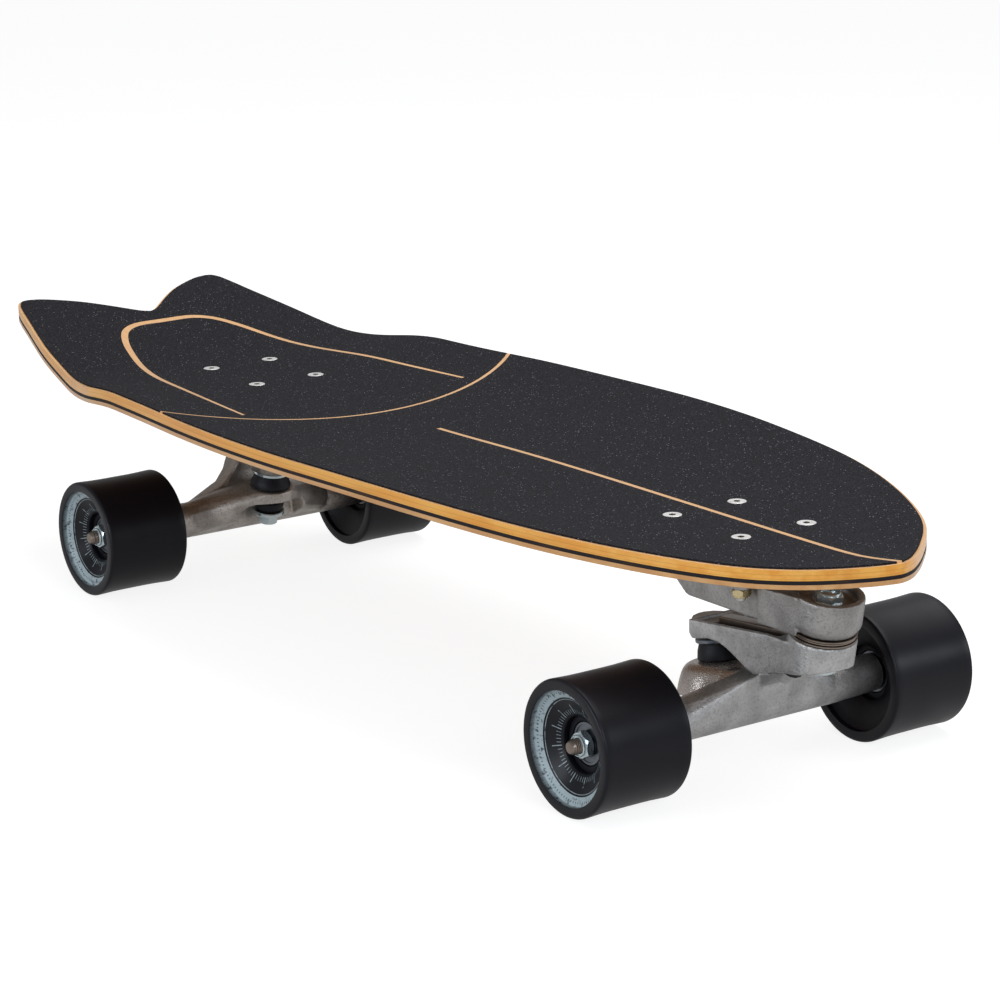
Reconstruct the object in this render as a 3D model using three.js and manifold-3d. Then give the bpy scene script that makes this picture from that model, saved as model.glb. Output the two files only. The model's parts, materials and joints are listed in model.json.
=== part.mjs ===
// Surf skateboard: a fish-tailed laminated deck on a swivelling front truck and a fixed-base rear truck.
// Millimetres, +X to the nose, +Y to the left, +Z up, origin on the ground below the middle of the deck.
import * as THREE from "three";
import { mergeVertices } from "three/addons/utils/BufferGeometryUtils.js";
import { ConvexGeometry } from "three/addons/geometries/ConvexGeometry.js";
import Module from "manifold-3d";

const wasm = await Module();
wasm.setup();

// Clearances that every fit shares
const seatGap = 0.3; // between pieces that bear on each other
const runningGap = 0.6; // between pieces that turn past each other
const overrun = 1; // how far a cutting tool runs past the face that it cuts

// Wheels: cast urethane on a moulded hub, with two ball bearings each
const wheel = {
  radius: 34.5,
  width: 51.5,
  shoulder: 1.6, // rounding between tread and side
  shoulderSteps: 2,
  lipRadius: 28.7, // where the side steps down to the dish
  dishStep: 3,
  dishDepth: 10.3, // side plane to the foot of the dish
  boreRadius: 14.2, // opening at the foot of the dish
  hubRadius: 17,
  hubWidth: 24.6,
  facets: 24,
  hubFacets: 16,
};
const bearing = { outerRadius: 11, width: 7, shelf: 1.2, facets: 14 };
const axle = {
  radius: 4,
  threadShort: 3, // how far the thread ends inside the wheel's side plane
  chamfer: 0.8,
  facets: 12,
};
const axleNut = { flatRadius: 6.35, height: 5.6 };
const outerFace = 116.6; // middle of the board to the outer side of a wheel

// Deck: seven plies with a bamboo face, cambered across and kicked at the tail
const deck = {
  length: 762,
  width: 254,
  thickness: 9.6,
  concaveRise: 11.05, // rails above the centre line
  concaveFadeStart: 211, // from the tail tips
  concaveFadeEnd: 113,
  noseRise: 3,
  noseRiseMiddle: 45,
  noseRiseSpan: 60,
  kickSlope: 0.217,
  kickStart: 123, // from the tail tips
  kickRound: 36,
  noseKickSlope: 0.16,
  noseKickStart: 29, // from the nose
  noseKickRound: 14,
  rows: 32,
  columns: 3,
};
// Rail profile from the top face down: inset and depth, as shares of the thickness
const railShares = [
  [0.2, 0],
  [0.06, 0.06],
  [0, 0.22],
  [0, 0.66],
  [0.1, 0.9],
  [0.32, 1],
];
// Outline from the nose along one rail to the tail tip: shares of half the length and half the width
const railOutlineShares = [
  [1, 0],
  [0.986, 0.095],
  [0.965, 0.17],
  [0.93, 0.29],
  [0.87, 0.468],
  [0.766, 0.651],
  [0.609, 0.823],
  [0.4, 0.933],
  [0.19, 0.987],
  [0.02, 1],
  [-0.18, 0.983],
  [-0.36, 0.936],
  [-0.53, 0.9],
  [-0.56, 0.883],
  [-0.6, 0.852],
  [-0.7, 0.782],
  [-0.81, 0.72],
  [-0.913, 0.644],
  [-0.966, 0.604],
  [-0.985, 0.584],
  [-0.997, 0.554],
  [-1, 0.515],
];
// Inner edge of the fish tail, from its tip to the notch
const tailOutlineShares = [
  [-1, 0.515],
  [-0.996, 0.45],
  [-0.984, 0.37],
  [-0.962, 0.262],
  [-0.933, 0.16],
  [-0.908, 0.083],
  [-0.893, 0.035],
  [-0.887, 0],
];

// Grip sheets on the deck, with the bare lines that show the wood
const grip = {
  thickness: 0.9,
  lift: 0.55, // above the wood, so that the two gridded faces never meet
  railInset: 2.2,
  lineApexShare: -0.1614, // of half the length: the curved line between the sheets crosses the middle here
  lineRadius: 180,
  lineWidth: 2.6,
  stringerStartShare: -0.0147,
  stringerWidth: 3,
  horseshoeWide: 5.4, // the line around the rear foot at its closed end
  horseshoeNarrow: 2.2, // and at its open ends
  slabRows: 32,
  slabColumns: 6,
};
// Horseshoe line, half of it, from the closed end to the open one: shares of half the length and width
const horseshoeShares = [
  [-0.838, 0],
  [-0.836, 0.16],
  [-0.819, 0.245],
  [-0.78, 0.315],
  [-0.709, 0.386],
  [-0.604, 0.465],
  [-0.499, 0.52],
  [-0.367, 0.559],
  [-0.24, 0.595],
];

// Deck bolts with their lock nuts
const bolt = {
  spacingLong: 53.975,
  spacingWide: 41.275,
  length: 32,
  radius: 2.4,
  headRadius: 4.9,
  headHeight: 2.6,
  socketRadius: 1.7,
  socketDepth: 1.8,
  nutRadius: 5.4,
  nutHeight: 4.6,
  thread: 2, // thread showing below the nut
  facets: 10,
};

// Places of the trucks: outwards is to the nose for the front one and to the tail for the rear one
const noseOverhang = 109.5; // from the front axle to the nose
const tailOverhang = 163.5; // from the rear axle to the tail tips
const frontAxleX = deck.length / 2 - noseOverhang;
const rearAxleX = tailOverhang - deck.length / 2;
const frontBoltsInward = 10.8; // bolt pattern centre, inwards of the axle
const rearBoltsInward = -20.8;

// Stack on a kingpin, from its seat down to the nut
const kingpin = {
  radius: 4.7,
  thread: 0.6,
  facets: 12,
};
const bushing = { boreRadius: 5.1, bulge: 0.5, facets: 18 };
const cupWasher = { thickness: 1.6, lip: 1.1, lipWidth: 1.1, facets: 18 };

// Hanger casting, shared sizes
const hanger = {
  tubeRadius: 10.8,
  tubeEndRadius: 9.6,
  ringBoreRadius: 7.6,
  studTipRadius: 5,
  studNeckRadius: 4.7,
  studNeck: 6, // from the ball's middle down to the neck
  pocketRoot: 26, // and to the mouth of the cup's pocket
  saddleRadius: 16,
  facets: 18,
  sectionPoints: 12, // points of a round section that is wrapped
};
// Dome over the front kingpin ring: radius and height, as shares of the ring's radius and half height
const domeShares = [
  [0.9, 0],
  [0.79, 0.7],
  [0.62, 1],
];
const pivotCup = { boreRadius: 5.6, wall: 1.5, skirt: 3, flare: 0.26, facets: 14 };

// Front truck
const front = {
  stand: 81.2, // axle to the deck's underside
  kingpinInward: 23.5,
  ringRise: 9, // middle of the kingpin ring above the axle
  ringHeight: 15,
  ringRadius: 24.5,
  kingpinTilt: 10,
  upperBushing: { height: 10, wide: 12.2, narrow: 10.4 },
  lowerBushing: { height: 8, wide: 12, narrow: 10.2 },
  upperWasher: 12.2,
  lowerWasher: 12,
  nutFlatRadius: 6.8,
  nutHeight: 7,
  pinGrip: 6.6, // kingpin above its seat
  pivotOutward: 31.5,
  pivotRise: 28.1,
  studLean: 43,
  studRoot: 12, // from the ball's middle down to the root
  studRootRadius: 5,
  tiltRange: 12,
};
const shield = {
  outward: 14.2,
  rise: 19.1,
  halfWidth: 8,
  back: 3,
  depth: 8,
  tubeReach: 46,
  saddleOutward: 9.5,
  neckBack: 7,
  neckEnd: 8, // from the ball's middle down to where the neck ends
};
const swivel = {
  outward: 53.5, // arm's pivot, outwards of the axle
  rise: 49.5, // bearing plane above the axle
  tilt: 11,
  bearingGap: 4, // between the two castings
  ringThickness: 0.85,
  ringBore: 9.8,
  ringRadii: [16.4, 15.8, 16.3],
  hubRadius: 16.7,
  baseHubRadius: 17.7,
  boltRadius: 5,
  boltHeadRadius: 9,
  boltHeadHeight: 3,
  boltHeadDepth: 16.6, // bearing plane down to the head's seat
  collarRadius: 8.6, // the bolt's collar, which the follower bears on
  chamberDepth: 12,
  facets: 24,
};
const arm = {
  halfWidth: 15.6,
  wall: 2.6,
  seatRadius: 12.9,
  bossTop: 37, // kingpin boss above the axle
  bossEnd: -22.3,
  keelHalfWidth: 9,
  keelRise: 29,
  keelEnd: 14,
  troughEnd: 34.5,
  slope: 5,
};
// Side view of the arm without its hub: outwards of the axle and above it
const armTop = [
  [-32, 38.5],
  [30, 45],
  [50, 45],
];
const armUnderside = [
  [50, 29.6],
  [37.5, 27.5],
  [29.5, 25.5],
  [22, 22.6],
  [18.5, 22],
  [13, 23.6],
  [6.5, 26.6],
  [-2, 30.1],
  [-9.5, 32],
  [-17, 31.6],
  [-25.5, 29.5],
  [-29.5, 29],
  [-32, 31.5],
];
const hubUnderside = [
  [30, 25.5],
  [37.5, 27.5],
  [61.5, 31.5],
  [76.5, 35.5],
];
const follower = {
  start: -21.9,
  end: 42,
  rise: 36.4, // its middle line above the axle at the start
  halfWidth: 4.2,
  halfHeight: 3.7,
  boreRadius: 2.8,
  boreLength: 30,
  facets: 10,
};
const spring = { radius: 1.9, wire: 0.5, turns: 5, length: 27, sides: 3, stepsPerTurn: 7 };
const base = {
  flangeStart: -46,
  flangeEnd: 28.5,
  flangeHalfWidth: 28,
  flangeThickness: 7,
  corner: 6,
  bossRadius: 7.2,
  gripLength: 14, // what a deck bolt clamps below the wood
  bodyHalfWidth: 14.4,
  blockStart: 24.5,
  blockRise: 50.1,
  chamferWidth: 2.5,
  chamferHeight: 4,
  hubTop: 24, // above the bearing plane, before the rim line trims it
  pocketRadius: 14.5,
  pocketFloor: 15.5, // above the bearing plane
  slotStart: 24,
  slotEnd: 37.5,
  slotHalfWidth: 11.5,
  slotFloor: 58,
  channelHalfWidth: 9.5,
  channelFloor: 65,
};
// Side view of the base's body and of the rim around its pocket: outwards of the axle and above it
const bodyUnderside = [
  [28.5, 50.1],
  [-33.5, 50.1],
  [-35.5, 50.5],
  [-43.5, 56.5],
];
const rimLine = [
  [24.5, 68.3],
  [40, 69.1],
  [57, 69.9],
  [76, 66.3],
];
const pivotNut = { flatRadius: 6.4, height: 5.6, flangeRadius: 7.6, flangeHeight: 1.4, recess: 1 };

// Rear truck
const rear = {
  kingpinInward: 22.7,
  ringRise: 14.9,
  ringHeight: 9.4,
  ringRadius: 14.5,
  kingpinTilt: 11.5,
  upperBushing: { height: 8.9, wide: 12.4, narrow: 8.8 },
  lowerBushing: { height: 7.2, wide: 9.2, narrow: 7.8 },
  upperWasher: 10.9,
  lowerWasher: 9.7,
  nutFlatRadius: 5.6,
  nutHeight: 5.6,
  pinGrip: 12,
  pivotOutward: 23,
  pivotRise: 41,
  studLean: 37,
  studRoot: 26,
  studRootRadius: 9,
  tiltRange: 14,
};
const bow = { tubeReach: 50, tubeRadius: 10 };
const tunnel = { end: -9.5, halfWidth: 23.5, radius: 9.5, top: 10.3 };
// Fin between the rear tube and its pivot stud: inner and outer face, half width and height above the axle
const finLevels = [
  { from: -2, to: 9, halfWidth: 20.5, rise: 18.5 },
  { from: -1, to: 11.5, halfWidth: 13.2, rise: 25.5 },
  { from: -1, to: 15, halfWidth: 8.5, rise: 32 },
];
const fin = { tubeReach: 44, tubeRadius: 10.2, overlap: 9 };
const pedestal = {
  flangeStart: -58,
  flangeEnd: 38,
  flangeThickness: 8,
  seatRadius: 14,
  seatHeight: 5,
  seatFrom: -40,
  seatTo: -2,
  pivotFrom: 2,
  pivotTo: 36,
  halfWidth: 13.5,
  bossRadius: 10,
  bossLow: -4,
  bossHigh: 9,
  trim: 35, // underside of the pivot boss above the axle
};

// Finishes
const finish = {
  ply: { color: 0xc98a43, roughness: 0.45, metalness: 0 },
  grit: { color: 0x26262a, roughness: 0.95, metalness: 0 },
  zinc: { color: 0xb9c0c4, roughness: 0.3, metalness: 1 },
  castLight: { color: 0x9b9a97, roughness: 0.5, metalness: 1 },
  castDark: { color: 0x6f6a66, roughness: 0.45, metalness: 1 },
  urethane: { color: 0x17171a, roughness: 0.4, metalness: 0 },
  hub: { color: 0x1b1b1d, roughness: 0.5, metalness: 0 },
  steel: { color: 0x8d8a86, roughness: 0.35, metalness: 1 },
  rubber: { color: 0x101012, roughness: 0.6, metalness: 0 },
};
const materials = Object.fromEntries(
  Object.entries(finish).map(([name, look]) => [name, new THREE.MeshStandardMaterial(look)]),
);

const radians = THREE.MathUtils.degToRad;
const board = new THREE.Group();

// Solids: a closed geometry becomes a solid that can be joined and cut, and a geometry again
function solidOf(geometry) {
  const bare = new THREE.BufferGeometry();
  bare.setAttribute("position", geometry.getAttribute("position"));
  if (geometry.index) bare.setIndex(geometry.index);
  const merged = mergeVertices(bare, 1e-4);
  return new wasm.Manifold(
    new wasm.Mesh({
      numProp: 3,
      vertProperties: new Float32Array(merged.attributes.position.array),
      triVerts: new Uint32Array(merged.index.array),
    }),
  );
}

function geometryOf(solid) {
  const mesh = solid.getMesh();
  const geometry = new THREE.BufferGeometry();
  geometry.setAttribute("position", new THREE.BufferAttribute(mesh.vertProperties, 3));
  geometry.setIndex(new THREE.BufferAttribute(mesh.triVerts, 1));
  geometry.computeVertexNormals();
  return geometry;
}

function joined(...geometries) {
  return geometryOf(geometries.map(solidOf).reduce((sum, next) => sum.add(next)));
}

function cut(geometry, ...tools) {
  return geometryOf(tools.map(solidOf).reduce((rest, tool) => rest.subtract(tool), solidOf(geometry)));
}

function common(geometry, other) {
  return geometryOf(solidOf(geometry).intersect(solidOf(other)));
}

// A profile of [radius, height] pairs turned about the Z axis; heights rise along the outside
function turned(profile, facets) {
  const points = profile.map(([radius, height]) => new THREE.Vector2(radius, height));
  return new THREE.LatheGeometry(points, facets).rotateX(Math.PI / 2);
}

// A plain cylinder about Z, from one height to another
function rod(radius, bottom, top, facets) {
  return turned([[0, bottom], [radius, bottom], [radius, top], [0, top]], facets);
}

// A ring about Z with a bore
function ring(radius, bore, bottom, top, facets) {
  return turned([[bore, top], [bore, bottom], [radius, bottom], [radius, top], [bore, top]], facets);
}

// A hexagonal prism about Z; the size is half the width across its flats
function hexagon(flatRadius, bottom, top) {
  return rod(flatRadius / Math.cos(Math.PI / 6), bottom, top, 6);
}

// A box between two corners
function block(x0, x1, y0, y1, z0, z1) {
  const box = new THREE.BoxGeometry(x1 - x0, y1 - y0, z1 - z0);
  return box.translate((x0 + x1) / 2, (y0 + y1) / 2, (z0 + z1) / 2);
}

// A side view outline of [x, z] pairs made solid between -halfWidth and +halfWidth along Y
function sideSlab(outline, halfWidth) {
  const shape = new THREE.Shape(outline.map(([x, z]) => new THREE.Vector2(x, z)));
  const slab = new THREE.ExtrudeGeometry(shape, { depth: 2 * halfWidth, bevelEnabled: false });
  return slab.rotateX(Math.PI / 2).translate(0, halfWidth, 0);
}

// A plan view outline made solid between two heights
function planSlab(shape, bottom, top) {
  const options = { depth: top - bottom, bevelEnabled: false, curveSegments: 3 };
  return new THREE.ExtrudeGeometry(shape, options).translate(0, 0, bottom);
}

// A rectangle with rounded corners, in plan
function roundedPlan(x0, x1, halfWidth, corner) {
  const shape = new THREE.Shape();
  shape.absarc(x1 - corner, halfWidth - corner, corner, 0, Math.PI / 2);
  shape.absarc(x0 + corner, halfWidth - corner, corner, Math.PI / 2, Math.PI);
  shape.absarc(x0 + corner, corner - halfWidth, corner, Math.PI, (3 * Math.PI) / 2);
  shape.absarc(x1 - corner, corner - halfWidth, corner, (3 * Math.PI) / 2, 2 * Math.PI);
  shape.closePath();
  return shape;
}

// Leans a shape made about Z outwards by an angle in degrees and stands it at [x, z]
function leaned(geometry, degrees, x, z) {
  return geometry.rotateY(radians(degrees)).translate(x, 0, z);
}

// Turns a shape about a sloping line through [x, z] in the middle plane
function swung(geometry, degrees, x, z, slope) {
  const direction = new THREE.Vector3(Math.cos(slope), 0, Math.sin(slope));
  const turn = new THREE.Matrix4().makeRotationAxis(direction, radians(degrees));
  return geometry.translate(-x, 0, -z).applyMatrix4(turn).translate(x, 0, z);
}

// Turns a shape made about Z so that it lies along Y
function crosswise(geometry) {
  return geometry.rotateX(Math.PI / 2);
}

// The convex solid around a set of points
function wrapped(points) {
  return new ConvexGeometry(points);
}

// Points of a circle about the Y direction, used as a section to wrap
function crossCircle(x, y, z, radius, count) {
  return Array.from({ length: count }, (_, i) => {
    const turn = (2 * Math.PI * i) / count;
    return new THREE.Vector3(x + radius * Math.cos(turn), y, z + radius * Math.sin(turn));
  });
}

// Points of a circle about a leaning axis through [x, z], at a distance along that axis
function leanCircle(x, z, degrees, along, radius, count) {
  const lean = radians(degrees);
  return Array.from({ length: count }, (_, i) => {
    const turn = (2 * Math.PI * i) / count;
    return new THREE.Vector3(
      x + along * Math.sin(lean) + radius * Math.cos(turn) * Math.cos(lean),
      radius * Math.sin(turn),
      z + along * Math.cos(lean) - radius * Math.cos(turn) * Math.sin(lean),
    );
  });
}

function place(group, name, geometry, look) {
  const mesh = new THREE.Mesh(geometry, materials[look]);
  mesh.name = name;
  group.add(mesh);
  return mesh;
}

// Deck surface
const halfLength = deck.length / 2;
const halfWidth = deck.width / 2;
const axleHeight = wheel.radius;

function smoothStep(from, to, value) {
  const share = THREE.MathUtils.clamp((value - from) / (to - from), 0, 1);
  return share * share * (3 - 2 * share);
}

function deckRise(x, y) {
  const past = deck.kickStart - halfLength - x;
  const kick = (deck.kickSlope * (Math.hypot(past, deck.kickRound) + past)) / 2;
  const nose = (deck.noseRise * (1 + Math.tanh((x - deck.noseRiseMiddle) / deck.noseRiseSpan))) / 2;
  const fade = smoothStep(deck.concaveFadeStart - halfLength, deck.concaveFadeEnd - halfLength, x);
  const concave = deck.concaveRise * (1 - fade);
  const ahead = x + deck.noseKickStart - halfLength;
  const noseKick = (deck.noseKickSlope * (Math.hypot(ahead, deck.noseKickRound) + ahead)) / 2;
  return kick + nose + noseKick + concave * (y / halfWidth) ** 2;
}

const frontBoltsX = frontAxleX - frontBoltsInward;
const rearBoltsX = rearAxleX - rearBoltsInward;
const deckFloor = axleHeight + front.stand - deckRise(frontBoltsX, 0);

function undersideHeight(x, y) {
  return deckFloor + deckRise(x, y);
}

// Outline points along one rail and back along the tail's inner edge
function curveThrough(shares, divisions) {
  const points = shares.map(([along, across]) => new THREE.Vector3(along * halfLength, across * halfWidth, 0));
  return new THREE.CatmullRomCurve3(points, false, "centripetal").getPoints(divisions);
}

const railEdge = curveThrough(railOutlineShares, deck.rows);
const tailEdge = curveThrough(tailOutlineShares, deck.rows);
const notchX = tailEdge[tailEdge.length - 1].x;

// Where the tail's inner edge lies at a given x
function tailEdgeAt(x) {
  const i = tailEdge.findIndex((point) => point.x >= x);
  if (i < 1) return tailEdge[0].y;
  const before = tailEdge[i - 1];
  const after = tailEdge[i];
  return THREE.MathUtils.mapLinear(x, before.x, after.x, before.y, after.y);
}

// Rows run across the board: one end on the rail, the other on the middle line or the tail's inner edge
const tailRows = railEdge.filter((point) => point.x < notchX).length;
const innerEdge = railEdge.map((point, i) => {
  if (i < railEdge.length - tailRows) return new THREE.Vector3(point.x, 0, 0);
  return new THREE.Vector3(point.x, tailEdgeAt(point.x), 0);
});
const lastMiddleRow = railEdge.length - tailRows - 1;
innerEdge[lastMiddleRow] = new THREE.Vector3(notchX, 0, 0);
const tipRow = railEdge.length - 1;

// Half the outline as one run of points: rail from nose to tip, then the inner edge back to the notch
const halfOutline = [
  ...railEdge.map((point) => new THREE.Vector2(point.x, point.y)),
  ...innerEdge.slice(lastMiddleRow, tipRow).reverse().map((point) => new THREE.Vector2(point.x, point.y)),
];

// The whole outline, closed, moved inwards by a distance
function insetOutline(inset) {
  const otherHalf = halfOutline.slice(1, -1).reverse().map((point) => new THREE.Vector2(point.x, -point.y));
  const loop = [...halfOutline, ...otherHalf];
  return loop.map((point, i) => {
    const before = loop[(i + loop.length - 1) % loop.length];
    const after = loop[(i + 1) % loop.length];
    const along = new THREE.Vector2().subVectors(after, before).normalize();
    return new THREE.Vector2(point.x - along.y * inset, point.y + along.x * inset);
  });
}

// Deck solid: two gridded faces joined by the rail's rings
function deckGeometry() {
  const positions = [];
  const triangles = [];
  const addPoint = (x, y, z) => positions.push(x, y, z) / 3 - 1;
  const addQuad = (a, b, c, d) => triangles.push(a, b, c, a, c, d);
  const loops = railShares.map(([inset, depth]) => {
    const outline = insetOutline(inset * deck.thickness);
    return outline.map((point) => {
      const top = undersideHeight(point.x, point.y) + deck.thickness;
      return addPoint(point.x, point.y, top - depth * deck.thickness);
    });
  });
  const count = loops[0].length;
  loops.slice(1).forEach((below, level) => {
    const above = loops[level];
    for (let i = 0; i < count; i += 1) {
      const next = (i + 1) % count;
      addQuad(above[i], below[i], below[next], above[next]);
    }
  });
  const pointOf = (index) => new THREE.Vector3().fromArray(positions, 3 * index);
  const face = (loop, depth, facingUp) => {
    // Index in the loop of each row's rail end and inner end, on the left side and on the mirrored one
    const railEnd = (row, side) => loop[side > 0 ? row : (count - row) % count];
    const innerEnd = (row, side) => {
      const index = 2 * tipRow - row;
      return loop[side > 0 ? index : (count - index) % count];
    };
    const middle = new Map();
    const middlePoint = (row) => {
      if (row === 0) return loop[0];
      if (row === lastMiddleRow) return innerEnd(row, 1);
      if (!middle.has(row)) {
        const rail = pointOf(railEnd(row, 1));
        middle.set(row, addPoint(rail.x, 0, undersideHeight(rail.x, 0) + deck.thickness - depth));
      }
      return middle.get(row);
    };
    for (const side of [1, -1]) {
      const rows = [];
      for (let row = 0; row <= tipRow; row += 1) {
        const rail = railEnd(row, side);
        if (row === 0 || row === tipRow) {
          rows.push(Array(deck.columns + 1).fill(rail));
          continue;
        }
        const inner = row <= lastMiddleRow ? middlePoint(row) : innerEnd(row, side);
        const from = pointOf(inner);
        const to = pointOf(rail);
        const line = [inner];
        for (let column = 1; column < deck.columns; column += 1) {
          const at = from.clone().lerp(to, column / deck.columns);
          line.push(addPoint(at.x, at.y, undersideHeight(at.x, at.y) + deck.thickness - depth));
        }
        line.push(rail);
        rows.push(line);
      }
      const wound = facingUp === side > 0;
      for (let row = 0; row < tipRow; row += 1)
        for (let column = 0; column < deck.columns; column += 1) {
          const corners = [
            rows[row][column],
            rows[row][column + 1],
            rows[row + 1][column + 1],
            rows[row + 1][column],
          ];
          addQuad(...(wound ? corners : corners.reverse()));
        }
    }
  };
  face(loops[0], 0, true);
  face(loops[loops.length - 1], deck.thickness, false);
  const kept = [];
  for (let i = 0; i < triangles.length; i += 3) {
    const [a, b, c] = triangles.slice(i, i + 3);
    if (a !== b && b !== c && c !== a) kept.push(a, b, c);
  }
  const geometry = new THREE.BufferGeometry();
  geometry.setAttribute("position", new THREE.Float32BufferAttribute(positions, 3));
  geometry.setIndex(kept);
  return geometry;
}

// Places of the eight deck bolts
const boltPlaces = [];
for (const [truck, centre] of [["front", frontBoltsX], ["rear", rearBoltsX]])
  for (const [end, along] of [["fore", 1], ["aft", -1]])
    for (const [side, across] of [["left", 1], ["right", -1]])
      boltPlaces.push({
        name: `${truck}_bolt_${end}_${side}`,
        x: centre + (along * bolt.spacingLong) / 2,
        y: (across * bolt.spacingWide) / 2,
      });

function boltHole(boltPlace, radius) {
  const top = undersideHeight(boltPlace.x, boltPlace.y) + deck.thickness;
  const hole = rod(radius, top - bolt.length, top + bolt.length, bolt.facets);
  return hole.translate(boltPlace.x, boltPlace.y, 0);
}

// Countersink for a bolt's head, open upwards
function boltSink(boltPlace) {
  const top = undersideHeight(boltPlace.x, boltPlace.y) + deck.thickness + grip.thickness;
  const wide = bolt.headRadius + seatGap;
  const sink = turned(
    [
      [0, top - bolt.headHeight - seatGap],
      [bolt.radius + seatGap, top - bolt.headHeight - seatGap],
      [wide, top - seatGap],
      [wide, top + bolt.headHeight],
      [0, top + bolt.headHeight],
    ],
    bolt.facets,
  );
  return sink.translate(boltPlace.x, boltPlace.y, 0);
}

function makeDeck() {
  const holes = boltPlaces.map((boltPlace) => boltHole(boltPlace, bolt.radius + seatGap));
  place(board, "deck", cut(deckGeometry(), ...holes, ...boltPlaces.map(boltSink)), "ply");
}

// Grip sheets: a gridded slab that follows the deck, trimmed to the outline and cut along the bare lines
function gripSlab() {
  const slab = new THREE.BoxGeometry(deck.length, deck.width, grip.thickness, grip.slabRows, grip.slabColumns, 1);
  const points = slab.attributes.position;
  for (let i = 0; i < points.count; i += 1) {
    const x = points.getX(i);
    const y = points.getY(i);
    const lift = deck.thickness + grip.lift + grip.thickness / 2 + points.getZ(i);
    points.setZ(i, undersideHeight(x, y) + lift);
  }
  return slab;
}

// A band of varying width along a run of points, as a flat shape
function bandShape(points, widthAt) {
  const sides = [[], []];
  points.forEach((point, i) => {
    const before = points[Math.max(i - 1, 0)];
    const after = points[Math.min(i + 1, points.length - 1)];
    const along = new THREE.Vector2().subVectors(after, before).normalize();
    const half = widthAt(i / (points.length - 1)) / 2;
    sides[0].push(new THREE.Vector2(point.x - along.y * half, point.y + along.x * half));
    sides[1].unshift(new THREE.Vector2(point.x + along.y * half, point.y - along.x * half));
  });
  return new THREE.Shape([...sides[0], ...sides[1]]);
}

const horseshoeSteps = 16;
const lineSteps = 10;

function makeGrip() {
  const low = deckFloor - deck.thickness;
  const high = deckFloor + deck.length;
  const sheet = common(gripSlab(), planSlab(new THREE.Shape(insetOutline(grip.railInset)), low, high));

  const half = curveThrough(horseshoeShares, horseshoeSteps);
  const horseshoe = [
    ...half.slice(1).reverse().map((point) => new THREE.Vector2(point.x, -point.y)),
    ...half.map((point) => new THREE.Vector2(point.x, point.y)),
  ];
  const horseshoeWidth = (share) =>
    THREE.MathUtils.lerp(grip.horseshoeWide, grip.horseshoeNarrow, Math.abs(2 * share - 1));

  // The line between the sheets is an arc with its middle towards the nose
  const reach = Math.asin((halfWidth + overrun) / grip.lineRadius);
  const centreX = grip.lineApexShare * halfLength - grip.lineRadius;
  const arc = Array.from({ length: lineSteps + 1 }, (_, i) => {
    const turn = THREE.MathUtils.lerp(-reach, reach, i / lineSteps);
    return new THREE.Vector2(centreX + grip.lineRadius * Math.cos(turn), grip.lineRadius * Math.sin(turn));
  });
  const beyond = halfLength + overrun;
  const outer = halfWidth + overrun;
  const foreEdge = arc.map((point) => point.clone().setX(point.x + grip.lineWidth / 2));
  const aftEdge = arc.map((point) => point.clone().setX(point.x - grip.lineWidth / 2));
  const foreShape = new THREE.Shape([
    new THREE.Vector2(beyond, -outer),
    new THREE.Vector2(beyond, outer),
    ...foreEdge.reverse(),
  ]);
  const aftShape = new THREE.Shape([
    new THREE.Vector2(-beyond, outer),
    new THREE.Vector2(-beyond, -outer),
    ...aftEdge,
  ]);

  const stringer = block(
    grip.stringerStartShare * halfLength,
    beyond,
    -grip.stringerWidth / 2,
    grip.stringerWidth / 2,
    low,
    high,
  );
  const sinks = boltPlaces.map((boltPlace) => boltHole(boltPlace, bolt.headRadius + seatGap));
  const nose = cut(common(sheet, planSlab(foreShape, low, high)), stringer, ...sinks);
  const tail = cut(
    common(sheet, planSlab(aftShape, low, high)),
    planSlab(bandShape(horseshoe, horseshoeWidth), low, high),
    ...sinks,
  );
  place(board, "grip_nose", nose, "grit");
  place(board, "grip_tail", tail, "grit");
}

// A deck bolt with its lock nut run on from below
function makeBolts() {
  for (const boltPlace of boltPlaces) {
    const under = undersideHeight(boltPlace.x, boltPlace.y) - deckFloor;
    const top = deckFloor + under + deck.thickness + grip.thickness;
    const nutTop = baseTopAt(boltPlace.x) - base.gripLength - seatGap;
    const nutBottom = nutTop - bolt.nutHeight;
    const screw = turned(
      [
        [0, nutBottom - bolt.thread],
        [bolt.radius, nutBottom - bolt.thread],
        [bolt.radius, top - bolt.headHeight],
        [bolt.headRadius, top - seatGap],
        [bolt.headRadius, top],
        [bolt.socketRadius, top],
        [bolt.socketRadius, top - bolt.socketDepth],
        [0, top - bolt.socketDepth],
      ],
      bolt.facets,
    );
    const fastener = joined(screw, hexagon(bolt.nutRadius * Math.cos(Math.PI / 6), nutBottom, nutTop));
    place(board, boltPlace.name, fastener.translate(boltPlace.x, boltPlace.y, 0), "zinc");
  }
}

// Height of a truck base's flat top: the lowest part of the deck above its flange, less the seat gap
function flatTopUnder(axleX, outwards, plate) {
  const ends = [plate.flangeStart, plate.flangeEnd].map((along) => axleX + outwards * along);
  return Math.min(...ends.map((x) => undersideHeight(x, 0))) - seatGap;
}

const frontBaseTop = flatTopUnder(frontAxleX, 1, base);
const rearBaseTop = flatTopUnder(rearAxleX, -1, pedestal);

function baseTopAt(x) {
  return x > 0 ? frontBaseTop : rearBaseTop;
}

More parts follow.
